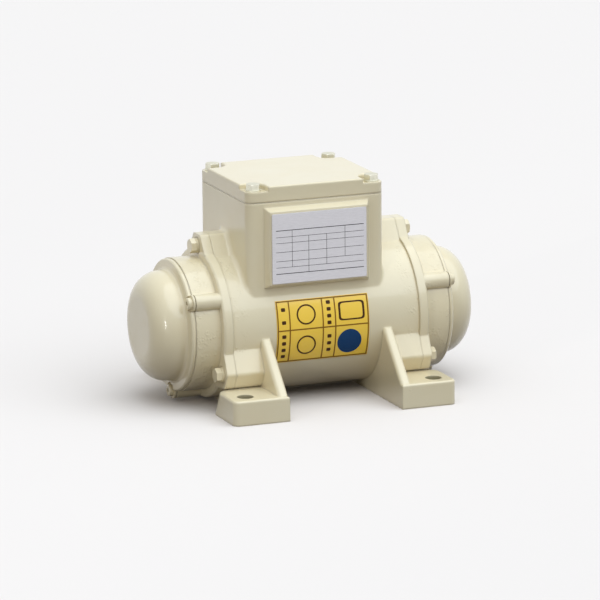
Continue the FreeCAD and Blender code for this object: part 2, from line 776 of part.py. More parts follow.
def bearing_bracket():
    """Make the right bracket: spigot, flange with ears, web, hub and drum."""
    face = BARREL_HALF_LENGTH
    flange_end = flange_end_x()
    drum_end = drum_end_x()
    drum_bore = DRUM_RADIUS - DRUM_WALL
    hub_end = hub_end_x()
    web_end = face + WEB_THICKNESS
    spigot = BORE_RADIUS - PRESS_GAP
    seat = BEARING_OUTER_RADIUS + PRESS_GAP
    profile = [
        (bearing_inner_x() - BEARING_LIP, seat), (bearing_inner_x() - BEARING_LIP, HUB_RADIUS),
        (face, HUB_RADIUS), (face, spigot - SPIGOT_WALL),
        (face - SPIGOT_LENGTH, spigot - SPIGOT_WALL), (face - SPIGOT_LENGTH, spigot - SPIGOT_CHAMFER),
        (face - SPIGOT_LENGTH + SPIGOT_CHAMFER, spigot), (face, spigot),
        (face, FLANGE_RADIUS), (flange_end - FLANGE_CHAMFER, FLANGE_RADIUS),
        (flange_end, FLANGE_RADIUS - FLANGE_CHAMFER), (flange_end, DRUM_RADIUS),
        (drum_end, DRUM_RADIUS), (drum_end, drum_bore),
        (web_end + WEB_ROOT, drum_bore), (web_end, drum_bore - WEB_ROOT),
        (web_end, HUB_RADIUS), (hub_end - HUB_CHAMFER, HUB_RADIUS),
        (hub_end, HUB_RADIUS - HUB_CHAMFER), (hub_end, SEAL_RADIUS + PRESS_GAP),
        (hub_shoulder_x(), SEAL_RADIUS + PRESS_GAP), (hub_shoulder_x(), seat),
    ]
    bracket = turned(profile)
    pieces = [bracket]
    for angle in EAR_ANGLES:
        pieces.append(ear_prism(angle, face, flange_end))
    hollow = rod_x(drum_bore, web_end, drum_end)
    for angle in COVER_SCREW_ANGLES:
        y, z = around_shaft(angle, COVER_SCREW_CIRCLE_RADIUS)
        pieces.append(rod_x(COVER_LUG_RADIUS, web_end, drum_end, y, z).cut(hollow))
    bracket = united(pieces)
    for angle in EAR_ANGLES:
        y, z = around_shaft(angle, BOLT_CIRCLE_RADIUS)
        bracket = bracket.cut(rod_x(M5_HOLE_RADIUS, face, flange_end, y, z))
        seat_x = flange_end - BOLT_SEAT_DEPTH
        bracket = bracket.cut(rod_x(M5_WASHER_RADIUS + BOLT_SEAT_MARGIN, seat_x, flange_end, y, z))
    depth = COVER_SCREW_LENGTH - (cover_screw_seat_x() - drum_end) + TAP_EXTRA_DEPTH
    for angle in COVER_SCREW_ANGLES:
        y, z = around_shaft(angle, COVER_SCREW_CIRCLE_RADIUS)
        bracket = bracket.cut(rod_x(M4_RADIUS, drum_end - depth, drum_end, y, z))
    return bracket


def bracket_bolt_seats(stand):
    """Return the points that lie a given height above the three bolt seats."""
    x = flange_end_x() - BOLT_SEAT_DEPTH + stand
    return [vec(x, *around_shaft(angle, BOLT_CIRCLE_RADIUS)) for angle in EAR_ANGLES]


def bracket_bolt_grip():
    """Return how much of a bracket bolt lies above the barrel's end face."""
    return FLANGE_THICKNESS - BOLT_SEAT_DEPTH + M5_WASHER_THICKNESS + SPRING_WASHER_THICKNESS


def bracket_washers():
    solids = []
    for seat in bracket_bolt_seats(0.0):
        washer = Part.makeCylinder(M5_WASHER_RADIUS, M5_WASHER_THICKNESS, seat, X_AXIS)
        bore = Part.makeCylinder(M5_HOLE_RADIUS, M5_WASHER_THICKNESS, seat, X_AXIS)
        solids.append(washer.cut(bore))
    return Part.makeCompound(solids)


def bracket_spring_washers():
    """Make the split washers, pressed flat, between the plain washers and the heads."""
    solids = []
    for base in bracket_bolt_seats(M5_WASHER_THICKNESS):
        washer = Part.makeCylinder(SPRING_WASHER_RADIUS, SPRING_WASHER_THICKNESS, base, X_AXIS)
        bore = Part.makeCylinder(M5_HOLE_RADIUS, SPRING_WASHER_THICKNESS, base, X_AXIS)
        split = block(
            base.x, base.x + SPRING_WASHER_THICKNESS,
            base.y - SPRING_WASHER_SPLIT / 2, base.y + SPRING_WASHER_SPLIT / 2,
            base.z - SPRING_WASHER_RADIUS, base.z,
        )
        solids.append(washer.cut(bore).cut(split))
    return Part.makeCompound(solids)


def bracket_bolts():
    solids = []
    for base in bracket_bolt_seats(M5_WASHER_THICKNESS + SPRING_WASHER_THICKNESS):
        head = hexagon(M5_FLATS, M5_HEAD, base, X_AXIS)
        head = head.common(rounded_head(M5_FLATS, M5_HEAD, base, X_AXIS))
        start = base - X_AXIS * BRACKET_BOLT_LENGTH
        shank = Part.makeCylinder(M5_RADIUS - THREAD_GAP, BRACKET_BOLT_LENGTH, start, X_AXIS)
        solids.append(head.fuse(shank).removeSplitter())
    return Part.makeCompound(solids)


def cover_seat_x():
    return drum_end_x() + COVER_SEAL_THICKNESS


def cover_end_x():
    return drum_end_x() + COVER_LENGTH


def cover_screw_seat_x():
    return cover_seat_x() + COVER_FLANGE_THICKNESS - COVER_SCREW_SEAT_DEPTH


def cover_outline(radius, end_x, dome, start_x):
    """List the edges of a dome's outline, from its open end to the shaft line."""
    z = SHAFT_HEIGHT
    turn_x = end_x - dome
    turn_r = radius - dome
    half = math.sqrt(0.5) * dome
    start = vec(start_x, 0, z + radius)
    tangent = vec(turn_x, 0, z + radius)
    middle = vec(turn_x + half, 0, z + turn_r + half)
    end = vec(end_x, 0, z + turn_r)
    return [
        Part.LineSegment(start, tangent).toShape(),
        Part.Arc(tangent, middle, end).toShape(),
        Part.LineSegment(end, vec(end_x, 0, z)).toShape(),
    ]


def dome(radius, end_x, edge_radius, start_x):
    """Make a solid dome from its open end at start_x."""
    z = SHAFT_HEIGHT
    edges = cover_outline(radius, end_x, edge_radius, start_x)
    edges.append(Part.LineSegment(vec(end_x, 0, z), vec(start_x, 0, z)).toShape())
    edges.append(Part.LineSegment(vec(start_x, 0, z), vec(start_x, 0, z + radius)).toShape())
    return Part.Face(Part.Wire(edges)).revolve(vec(0, 0, z), X_AXIS, 360)


def weight_cover():
    """Make the right cover: deep dome with a flange and three screw lugs."""
    seat = cover_seat_x()
    flange_end = seat + COVER_FLANGE_THICKNESS
    shell = dome(COVER_RADIUS, cover_end_x(), COVER_DOME_RADIUS, seat)
    inside_wall = COVER_RADIUS - COVER_WALL / 2
    root = COVER_ROOT_RADIUS
    bend = COVER_ROOT_HOLLOW * root
    fillet = turned([
        (seat + COVER_FLANGE_CHAMFER, inside_wall), (seat + COVER_FLANGE_CHAMFER, COVER_RADIUS + root),
        (flange_end, COVER_RADIUS + root), (flange_end + bend, COVER_RADIUS + bend),
        (flange_end + root, COVER_RADIUS), (flange_end + root, inside_wall),
    ])
    flange = turned([
        (seat, inside_wall), (seat, COVER_FLANGE_RADIUS),
        (flange_end - COVER_FLANGE_CHAMFER, COVER_FLANGE_RADIUS),
        (flange_end, COVER_FLANGE_RADIUS - COVER_FLANGE_CHAMFER), (flange_end, inside_wall),
    ])
    pieces = [shell, flange, fillet]
    for angle in COVER_SCREW_ANGLES:
        y, z = around_shaft(angle, COVER_SCREW_CIRCLE_RADIUS)
        pieces.append(rod_x(COVER_LUG_RADIUS, seat, flange_end, y, z))
    cover = united(pieces)
    inside = dome(
        COVER_RADIUS - COVER_WALL, cover_end_x() - COVER_WALL, COVER_DOME_RADIUS - COVER_WALL, seat,
    )
    cover = cover.cut(inside)
    for angle in COVER_SCREW_ANGLES:
        y, z = around_shaft(angle, COVER_SCREW_CIRCLE_RADIUS)
        cover = cover.cut(rod_x(M4_HOLE_RADIUS, seat, flange_end, y, z))
        cover = cover.cut(rod_x(COVER_LUG_RADIUS, cover_screw_seat_x(), flange_end, y, z))
    return cover


def cover_seal():
    """Make the flat ring between a cover and its bracket."""
    seal = ring_x(
        COVER_FLANGE_RADIUS - COVER_SEAL_INSET, DRUM_RADIUS - DRUM_WALL + COVER_SEAL_INSET,
        drum_end_x(), cover_seat_x(),
    )
    for angle in COVER_SCREW_ANGLES:
        y, z = around_shaft(angle, COVER_SCREW_CIRCLE_RADIUS)
        seal = seal.cut(rod_x(M4_HOLE_RADIUS, drum_end_x(), cover_seat_x(), y, z))
    return seal


def cover_screws():
    seat_x = cover_screw_seat_x()
    solids = []
    for angle in COVER_SCREW_ANGLES:
        seat = vec(seat_x, *around_shaft(angle, COVER_SCREW_CIRCLE_RADIUS))
        head = Part.makeCylinder(M4_HEAD_RADIUS, M4_HEAD, seat, X_AXIS)
        rim = [e for e in head.Edges if e.BoundBox.XMin > seat_x + M4_HEAD - 0.01]
        head = head.makeFillet(M4_HEAD_ROUNDING, rim)
        top = seat + X_AXIS * (M4_HEAD - M4_DRIVE_DEPTH)
        head = head.cut(hexagon(M4_DRIVE_FLATS, M4_DRIVE_DEPTH, top, X_AXIS))
        base = seat - X_AXIS * COVER_SCREW_LENGTH
        shank = Part.makeCylinder(M4_RADIUS - THREAD_GAP, COVER_SCREW_LENGTH, base, X_AXIS)
        solids.append(head.fuse(shank))
    return Part.makeCompound(solids)


# Bearings and shaft seals


def bearing_middle_x():
    return bearing_inner_x() + BEARING_WIDTH / 2


def ball_circle_radius():
    return (INNER_RING_RADIUS + OUTER_RING_RADIUS) / 2


def race_groove():
    """Make the ring-shaped groove that the balls run in."""
    middle = vec(bearing_middle_x(), 0, SHAFT_HEIGHT)
    return Part.makeTorus(ball_circle_radius(), BALL_RADIUS + RUNNING_GAP, middle, X_AXIS)


def bearing_outer_ring():
    start = bearing_inner_x()
    end = bearing_end_x()
    outer = BEARING_OUTER_RADIUS
    ring = turned([
        (start, OUTER_RING_RADIUS), (start, outer - RACE_CHAMFER), (start + RACE_CHAMFER, outer),
        (end - RACE_CHAMFER, outer), (end, outer - RACE_CHAMFER), (end, OUTER_RING_RADIUS),
    ])
    return ring.cut(race_groove())


def bearing_inner_ring():
    start = bearing_inner_x()
    end = bearing_end_x()
    bore = BEARING_BORE_RADIUS + PRESS_GAP
    ring = turned([
        (start, bore + RACE_CHAMFER), (start + RACE_CHAMFER, bore), (end - RACE_CHAMFER, bore),
        (end, bore + RACE_CHAMFER), (end, INNER_RING_RADIUS), (start, INNER_RING_RADIUS),
    ])
    return ring.cut(race_groove())


def ball_places():
    step = 360.0 / BALL_COUNT
    places = []
    for k in range(BALL_COUNT):
        places.append(vec(bearing_middle_x(), *around_shaft(90 + k * step, ball_circle_radius())))
    return places


def bearing_balls():
    return Part.makeCompound([Part.makeSphere(BALL_RADIUS, place) for place in ball_places()])


def ball_cage():
    """Make the cage: a band with one round pocket for each ball."""
    middle = ball_circle_radius()
    x = bearing_middle_x()
    half = CAGE_WIDTH / 2
    reach = 2 * CAGE_WALL
    cage = ring_x(middle + CAGE_WALL / 2, middle - CAGE_WALL / 2, x - half, x + half)
    for place in ball_places():
        outward = place - vec(x, 0, SHAFT_HEIGHT)
        outward.normalize()
        start = place - outward * reach
        pocket = Part.makeCylinder(BALL_RADIUS + CAGE_POCKET_GAP, 2 * reach, start, outward)
        cage = cage.cut(pocket)
    return cage


def disc_spring():
    """Make the dished ring that preloads the outer ring."""
    start = bearing_end_x()
    high = hub_shoulder_x()
    inner = OUTER_RING_RADIUS + SPRING_EDGE_GAP
    outer = BEARING_OUTER_RADIUS - SPRING_EDGE_GAP
    return turned([
        (start, outer), (start + SPRING_THICKNESS, outer),
        (high, inner), (high - SPRING_THICKNESS, inner),
    ])


def shaft_seal():
    """Make the rubber seal with its lip towards the weights."""
    start = hub_shoulder_x() + SEAL_START_GAP
    end = start + SEAL_WIDTH
    skin = start + SEAL_SKIN
    lip = BEARING_BORE_RADIUS + SEAT_GAP
    return turned([
        (start, SEAL_RADIUS), (end, SEAL_RADIUS), (end, SEAL_RADIUS - SEAL_SKIN),
        (skin, SEAL_RADIUS - SEAL_SKIN), (skin, lip + SEAL_SKIN),
        (end, lip + SEAL_LIP), (end, lip), (start, lip + SEAL_LIP), (start, lip + SEAL_SKIN),
    ])


# Rotor


def rotor_shaft():
    """Make the shaft: core seat, shoulders, journals and weight seats."""
    step_x = hub_end_x() + SHAFT_STEP_GAP
    end_x = weight_clip_x() + CLIP_THICKNESS + SHAFT_STUB_LENGTH
    half = [
        (0, 0), (0, CORE_SEAT_RADIUS), (CORE_HALF_LENGTH, CORE_SEAT_RADIUS),
        (CORE_HALF_LENGTH, SHOULDER_RADIUS), (bearing_inner_x(), SHOULDER_RADIUS),
        (bearing_inner_x(), BEARING_BORE_RADIUS), (step_x, BEARING_BORE_RADIUS),
        (step_x, WEIGHT_SEAT_RADIUS), (end_x - SHAFT_END_CHAMFER, WEIGHT_SEAT_RADIUS),
        (end_x, WEIGHT_SEAT_RADIUS - SHAFT_END_CHAMFER), (end_x, 0),
    ]
    right = turned(half)
    right = right.cut(key_seat())
    right = right.cut(clip_groove(bearing_clip_x(), BEARING_BORE_RADIUS))
    right = right.cut(clip_groove(weight_clip_x(), WEIGHT_SEAT_RADIUS))
    return right.fuse(mirrored_x(right)).removeSplitter()


def fixed_weight_start_x():
    return hub_end_x() + WEIGHT_HUB_GAP


def moving_weight_start_x():
    return fixed_weight_start_x() + FIXED_WEIGHT_THICKNESS + SEAT_GAP


def moving_weight_end_x():
    return moving_weight_start_x() + MOVING_WEIGHT_THICKNESS


def bearing_clip_x():
    return bearing_end_x() + CLIP_START_GAP


def weight_clip_x():
    return moving_weight_end_x() + SEAT_GAP


def clip_groove(x, radius):
    return ring_x(radius + CLIP_REACH, radius - CLIP_GROOVE_DEPTH, x, x + CLIP_THICKNESS)


def retaining_ring(x, radius):
    """Make an open retaining ring in the groove at x."""
    inner = radius - CLIP_GROOVE_DEPTH + PRESS_GAP
    ring = ring_x(radius + CLIP_REACH, inner, x + PRESS_GAP, x + CLIP_THICKNESS - PRESS_GAP)
    half = CLIP_OPENING / 2
    gap = block(x, x + CLIP_THICKNESS, -half, half, SHAFT_HEIGHT - 2 * radius, SHAFT_HEIGHT)
    return ring.cut(gap)


def retaining_rings():
    right = [
        retaining_ring(bearing_clip_x(), BEARING_BORE_RADIUS),
        retaining_ring(weight_clip_x(), WEIGHT_SEAT_RADIUS),
    ]
    return Part.makeCompound(right + [mirrored_x(ring) for ring in right])


def key_block(side_gap, top):
    """Make a key between the shaft and the fixed weight."""
    half = KEY_WIDTH / 2 - side_gap
    base = SHAFT_HEIGHT + WEIGHT_SEAT_RADIUS + KEY_STAND - KEY_HEIGHT
    start = fixed_weight_start_x()
    end = start + FIXED_WEIGHT_THICKNESS
    return block(start, end, -half, half, base + side_gap, SHAFT_HEIGHT + top)


def key_seat():
    return key_block(0.0, WEIGHT_SEAT_RADIUS + KEY_CUT)


def weight_keys():
    key = key_block(PRESS_GAP, WEIGHT_SEAT_RADIUS + KEY_STAND)
    return Part.makeCompound([key, mirrored_x(key)])


def rotor_core():
    outer = STATOR_BORE_RADIUS - AIR_GAP
    core = ring_x(outer, CORE_SEAT_RADIUS + PRESS_GAP, -CORE_HALF_LENGTH, CORE_HALF_LENGTH)
    for y, z in bar_places():
        core = core.cut(rod_x(BAR_RADIUS + PRESS_GAP, -CORE_HALF_LENGTH, CORE_HALF_LENGTH, y, z))
    return core


def bar_places():
    step = 360.0 / BAR_COUNT
    return [around_shaft(k * step, BAR_CIRCLE_RADIUS) for k in range(BAR_COUNT)]


def rotor_cage():
    """Make the cast cage: bars through the core and a ring at each end."""
    outer = STATOR_BORE_RADIUS - AIR_GAP - END_RING_STEP
    ring = ring_x(
        outer, END_RING_INNER_RADIUS, CORE_HALF_LENGTH, CORE_HALF_LENGTH + END_RING_LENGTH,
    )
    pieces = [ring, mirrored_x(ring)]
    for y, z in bar_places():
        pieces.append(rod_x(BAR_RADIUS, -CORE_HALF_LENGTH, CORE_HALF_LENGTH, y, z))
    return united(pieces)


def weight_blank(x_from, x_to):
    """Make a hanging sector with a round hub."""
    reach = 2 * WEIGHT_RADIUS
    turn = math.radians(WEIGHT_HALF_ANGLE)
    side = reach * math.sin(turn)
    drop = reach * math.cos(turn)
    points = [
        vec(x_from, 0, SHAFT_HEIGHT), vec(x_from, -side, SHAFT_HEIGHT - drop),
        vec(x_from, -side, SHAFT_HEIGHT - reach), vec(x_from, side, SHAFT_HEIGHT - reach),
        vec(x_from, side, SHAFT_HEIGHT - drop),
    ]
    wedge = polygon_face(points).extrude(vec(x_to - x_from, 0, 0))
    sector = rod_x(WEIGHT_RADIUS, x_from, x_to).common(wedge)
    return sector.fuse(rod_x(WEIGHT_HUB_RADIUS, x_from, x_to)).removeSplitter()


def fixed_weight():
    start = fixed_weight_start_x()
    end = start + FIXED_WEIGHT_THICKNESS
    weight = weight_blank(start, end)
    weight = weight.cut(rod_x(WEIGHT_SEAT_RADIUS + PRESS_GAP, start, end))
    return weight.cut(key_block(0.0, WEIGHT_SEAT_RADIUS + KEY_STAND + PRESS_GAP))


def moving_weight():
    """Make the weight that is turned by hand: split hub with a clamp."""
    start = moving_weight_start_x()
    end = moving_weight_end_x()
    weight = weight_blank(start, end)
    lug = block(
        start, end, -CLAMP_LUG_HALF_WIDTH, CLAMP_LUG_HALF_WIDTH,
        SHAFT_HEIGHT, SHAFT_HEIGHT + CLAMP_LUG_TOP,
    )
    top = [e for e in edges_along(lug, X_AXIS) if e.BoundBox.ZMin > SHAFT_HEIGHT + 1]
    lug = lug.makeFillet(CLAMP_LUG_CORNER, top)
    weight = weight.fuse(lug).removeSplitter()
    weight = weight.cut(rod_x(WEIGHT_SEAT_RADIUS + RUNNING_GAP, start, end))
    slot = block(
        start, end, -CLAMP_SLOT / 2, CLAMP_SLOT / 2, SHAFT_HEIGHT, SHAFT_HEIGHT + CLAMP_LUG_TOP,
    )
    weight = weight.cut(slot)
    x = (start + end) / 2
    z = SHAFT_HEIGHT + CLAMP_BOLT_HEIGHT
    half = CLAMP_LUG_HALF_WIDTH
    return weight.cut(rod_y(CLAMP_BOLT_RADIUS + THREAD_GAP, -half, half, x, z))


def clamp_bolt():
    x = (moving_weight_start_x() + moving_weight_end_x()) / 2
    z = SHAFT_HEIGHT + CLAMP_BOLT_HEIGHT
    seat = -CLAMP_LUG_HALF_WIDTH
    head = rod_y(CLAMP_HEAD_RADIUS, seat - CLAMP_HEAD, seat, x, z)
    drive = hexagon(CLAMP_DRIVE_FLATS, CLAMP_DRIVE_DEPTH, vec(x, seat - CLAMP_HEAD, z), Y_AXIS)
    head = head.cut(drive)
    return head.fuse(rod_y(CLAMP_BOLT_RADIUS, seat, CLAMP_LUG_HALF_WIDTH - CLAMP_BOLT_SHORT, x, z))


# Stator


def slot_outline(x, trim):
    """List the corners of one slot that opens towards the rotor, at the top."""
    step = math.radians(360.0 / SLOT_COUNT)
    corners = []
    for radius in (SLOT_TOP_RADIUS + trim, SLOT_BOTTOM_RADIUS - trim):
        half = (radius * step - TOOTH_WIDTH) / 2 - trim
        corners.append((half, radius))
    (low_half, low), (high_half, high) = corners
    return [
        vec(x, -low_half, SHAFT_HEIGHT + low), vec(x, low_half, SHAFT_HEIGHT + low),
        vec(x, high_half, SHAFT_HEIGHT + high), vec(x, -high_half, SHAFT_HEIGHT + high),
    ]


def around_stator(shape):
    """Return copies of a shape, one for each slot."""
    copies = []
    for k in range(SLOT_COUNT):
        copy = shape.copy()
        copy.rotate(vec(0, 0, SHAFT_HEIGHT), X_AXIS, k * 360.0 / SLOT_COUNT)
        copies.append(copy)
    return copies


def stator_core():
    core = ring_x(
        BORE_RADIUS - PRESS_GAP, STATOR_BORE_RADIUS, -CORE_HALF_LENGTH, CORE_HALF_LENGTH,
    )
    slot = polygon_face(slot_outline(-CORE_HALF_LENGTH, 0.0)).extrude(vec(2 * CORE_HALF_LENGTH, 0, 0))
    mouth = block(
        -CORE_HALF_LENGTH, CORE_HALF_LENGTH, -SLOT_MOUTH_WIDTH / 2, SLOT_MOUTH_WIDTH / 2,
        SHAFT_HEIGHT + STATOR_BORE_RADIUS - SLOT_LINER, SHAFT_HEIGHT + SLOT_TOP_RADIUS + SLOT_LINER,
    )
    return core.cut(Part.makeCompound(around_stator(slot.fuse(mouth).removeSplitter())))


def end_turn_start_x():
    return CORE_HALF_LENGTH + SEAT_GAP


def stator_winding():
    """Make the coils: a filled bar in each slot and the end turns."""
    reach = end_turn_start_x()
    bar = polygon_face(slot_outline(-reach, SLOT_LINER)).extrude(vec(2 * reach, 0, 0))
    end = reach + END_TURN_LENGTH
    cut = min(END_TURN_ROUNDING, (END_TURN_OUTER_RADIUS - END_TURN_INNER_RADIUS) / 3)
    turns = turned([
        (reach, END_TURN_INNER_RADIUS), (reach, END_TURN_OUTER_RADIUS - cut / 2),
        (reach + cut, END_TURN_OUTER_RADIUS), (end - cut, END_TURN_OUTER_RADIUS),
        (end, END_TURN_OUTER_RADIUS - cut), (end, END_TURN_INNER_RADIUS + cut),
        (end - cut, END_TURN_INNER_RADIUS),
    ])
    return united([turns, mirrored_x(turns)] + around_stator(bar))


# Cable gland


def box_inner_right_x():
    return BOX_CENTRE_X + BOX_LENGTH / 2 - BOX_WALL


def box_inner_left_x():
    return BOX_CENTRE_X - BOX_LENGTH / 2 + BOX_WALL


def gland_x():
    return box_inner_right_x() - GLAND_RIGHT_INSET


def gland_z():
    return BOX_FLOOR_Z + BOX_HEIGHT / 2


def gland_rod(radius, y_from, y_to):
    return rod_y(radius, y_from, y_to, gland_x(), gland_z())


def gland_inner_end_y():
    return box_back_y() - BOX_WALL - GLAND_THREAD_LENGTH


def gland_collar_end_y():
    return box_back_y() + GLAND_FLANGE_LENGTH + GLAND_COLLAR_LENGTH


def gland_seal_start_y():
    return box_back_y() + GLAND_FLANGE_LENGTH - GLAND_SEAL_SEAT


def gland_seal_end_y():
    return gland_collar_end_y() + GLAND_SEAL_STAND


def cable_gland_body():
    """Make the body: hexagon flange, outer thread and the stem through the box wall."""
    face = box_back_y()
    flange = hexagon(GLAND_FLATS, GLAND_FLANGE_LENGTH, vec(gland_x(), face, gland_z()), Y_AXIS)
    body = flange.fuse(gland_rod(GLAND_THREAD_RADIUS, gland_inner_end_y(), gland_collar_end_y()))
    passage = GLAND_BORE_RADIUS + SEAT_GAP
    body = body.cut(gland_rod(passage, gland_inner_end_y(), gland_seal_start_y()))
    return body.cut(gland_rod(GLAND_SEAL_RADIUS, gland_seal_start_y(), gland_collar_end_y()))


def cable_gland_seal():
    start = gland_seal_start_y()
    end = gland_seal_end_y()
    outer = gland_rod(GLAND_SEAL_RADIUS - PRESS_GAP, start, end)
    return outer.cut(gland_rod(GLAND_BORE_RADIUS, start, end))


def cable_gland_nut():
    """Make the domed nut that squeezes the seal."""
    start = box_back_y() + GLAND_FLANGE_LENGTH + SEAT_GAP
    end = start + GLAND_NUT_LENGTH
    grip_end = start + GLAND_NUT_GRIP
    outer = GLAND_THREAD_RADIUS + GLAND_NUT_WALL
    grip = hexagon(2 * outer, GLAND_NUT_GRIP, vec(gland_x(), start, gland_z()), Y_AXIS)
    cone = Part.makeCone(
        outer, GLAND_BORE_RADIUS + GLAND_NUT_END_WALL, end - grip_end,
        vec(gland_x(), grip_end, gland_z()), Y_AXIS,
    )
    nut = grip.fuse(cone)
    nut = nut.cut(gland_rod(GLAND_THREAD_RADIUS + THREAD_GAP, start, gland_collar_end_y()))
    nut = nut.cut(gland_rod(GLAND_SEAL_RADIUS, start, gland_seal_end_y()))
    return nut.cut(gland_rod(GLAND_BORE_RADIUS + SEAT_GAP, start, end))


def cable_gland_locknut():
    end = box_back_y() - BOX_WALL
    start = end - LOCKNUT_THICKNESS
    nut = hexagon(LOCKNUT_FLATS, LOCKNUT_THICKNESS, vec(gland_x(), start, gland_z()), Y_AXIS)
    return nut.cut(gland_rod(GLAND_THREAD_RADIUS + THREAD_GAP, start, end))


# Things inside the terminal box


def capacitor_start_x():
    return box_inner_left_x() + CAPACITOR_END_GAP


def capacitor_y():
    post_edge = box_front_y() + LID_SCREW_INSET + LID_POST_RADIUS
    return post_edge + CAPACITOR_POST_GAP + CAPACITOR_RADIUS


def capacitor_z():
    return BOX_FLOOR_Z + CLIP_BAND + CAPACITOR_RADIUS


def run_capacitor():
    """Make the can with its crimped cap and two flat tabs."""
    start = capacitor_start_x()
    end = start + CAPACITOR_LENGTH
    y = capacitor_y()
    z = capacitor_z()
    can = rod_x(CAPACITOR_RADIUS, start, end - CAPACITOR_CAP_LENGTH, y, z)
    cap = rod_x(CAPACITOR_RADIUS - CAPACITOR_CAP_STEP, end - CAPACITOR_CAP_LENGTH, end, y, z)
    can = can.fuse(cap)
    for offset in (-TAB_OFFSET, TAB_OFFSET):
        side = y + offset - TAB_THICKNESS / 2
        can = can.fuse(block(
            end, end + TAB_LENGTH, side, side + TAB_THICKNESS, z - TAB_WIDTH / 2, z + TAB_WIDTH / 2,
        ))
    return can


def capacitor_clip():
    """Make the sprung saddle that holds the capacitor down."""
    start = capacitor_start_x() + (CAPACITOR_LENGTH - CLIP_WIDTH) / 2
    end = start + CLIP_WIDTH
    y = capacitor_y()
    z = capacitor_z()
    inner = CAPACITOR_RADIUS + PRESS_GAP
    half_open = CLIP_OPEN_HALF_WIDTH
    band = ring_x(inner + CLIP_BAND, inner, start, end, y, z)
    band = band.cut(block(start, end, y - half_open, y + half_open, z, z + 2 * inner))
    half_foot = CLIP_FOOT_HALF_WIDTH
    foot = block(
        start, end, y - half_foot, y + half_foot, BOX_FLOOR_Z, BOX_FLOOR_Z + 2 * CLIP_BAND,
    )
    clip = band.fuse(foot.cut(rod_x(inner, start, end, y, z)))
    return clip.cut(block(start, end, y - inner, y + inner, BOX_FLOOR_Z - CLIP_BAND, BOX_FLOOR_Z))


def terminal_block_start():
    """Return x and y of the terminal block's left front corner."""
    post_edge = box_back_y() - LID_SCREW_INSET - LID_POST_RADIUS
    return box_inner_left_x() + BLOCK_END_GAP, post_edge - BLOCK_POST_GAP - BLOCK_DEPTH


def terminal_block():
    """Make the moulded block: a stepped bar with a rib between the poles."""
    x, front = terminal_block_start()
    back = front + BLOCK_DEPTH
    top = BOX_FLOOR_Z + BLOCK_HEIGHT
    solid = block(x, x + BLOCK_LENGTH, front, back, BOX_FLOOR_Z, top)
    pitch = (BLOCK_LENGTH - BLOCK_RIB) / BLOCK_POLES
    for k in range(BLOCK_POLES):
        pole = x + BLOCK_RIB + k * pitch
        pocket = block(pole, pole + pitch - BLOCK_RIB, front, back, top - BLOCK_STEP, top)
        solid = solid.cut(pocket)
    return solid


def slotted_head(radius, height, x, y, seat):
    """Make a round screw head with one slot across it."""
    head = rod_z(radius, seat, seat + height, x, y)
    half = M4_SLOT / 2
    return head.cut(block(x - radius, x + radius, y - half, y + half, seat + height / 2, seat + height))


def terminal_screws():
    """Make two screws for each pole of the terminal block."""
    start, front = terminal_block_start()
    pitch = (BLOCK_LENGTH - BLOCK_RIB) / BLOCK_POLES
    seat = BOX_FLOOR_Z + BLOCK_HEIGHT - BLOCK_STEP
    solids = []
    for k in range(BLOCK_POLES):
        x = start + BLOCK_RIB + k * pitch + (pitch - BLOCK_RIB) / 2
        for share in (1, 3):
            y = front + share * BLOCK_DEPTH / 4
            solids.append(slotted_head(BLOCK_SCREW_RADIUS, BLOCK_SCREW_HEAD, x, y, seat))
    return Part.makeCompound(solids)


def earth_x():
    return box_inner_right_x() - EARTH_INSET


def earth_screw():
    """Make the earth screw and its washer in the floor of the box."""
    x = earth_x()
    y = BOX_CENTRE_Y
    seat = BOX_FLOOR_Z + EARTH_WASHER_THICKNESS
    washer = rod_z(M5_WASHER_RADIUS, BOX_FLOOR_Z, seat, x, y)
    shank_end = BOX_FLOOR_Z - EARTH_HOLE_DEPTH + SEAT_GAP
    shank = rod_z(M4_RADIUS - THREAD_GAP, shank_end, BOX_FLOOR_Z, x, y)
    head = slotted_head(M4_HEAD_RADIUS, EARTH_HEAD, x, y, seat)
    return head.fuse(washer).fuse(shank).removeSplitter()


def lead_hole_x():
    """Return the place of the hole above the middle of the left end turns."""
    return -(end_turn_start_x() + END_TURN_LENGTH / 2)


def lead_grommet():
    """Make the rubber ring in the hole that the leads come up through."""
    x = lead_hole_x()
    y = BOX_CENTRE_Y
    bottom = SHAFT_HEIGHT + BORE_RADIUS + GROMMET_BOTTOM_GAP
    top = BOX_FLOOR_Z + GROMMET_LIP
    grommet = rod_z(LEAD_HOLE_RADIUS - PRESS_GAP, bottom, BOX_FLOOR_Z, x, y)
    grommet = grommet.fuse(rod_z(LEAD_HOLE_RADIUS + GROMMET_LIP, BOX_FLOOR_Z, top, x, y))
    return grommet.cut(rod_z(GROMMET_BORE_RADIUS, bottom, top, x, y)).removeSplitter()


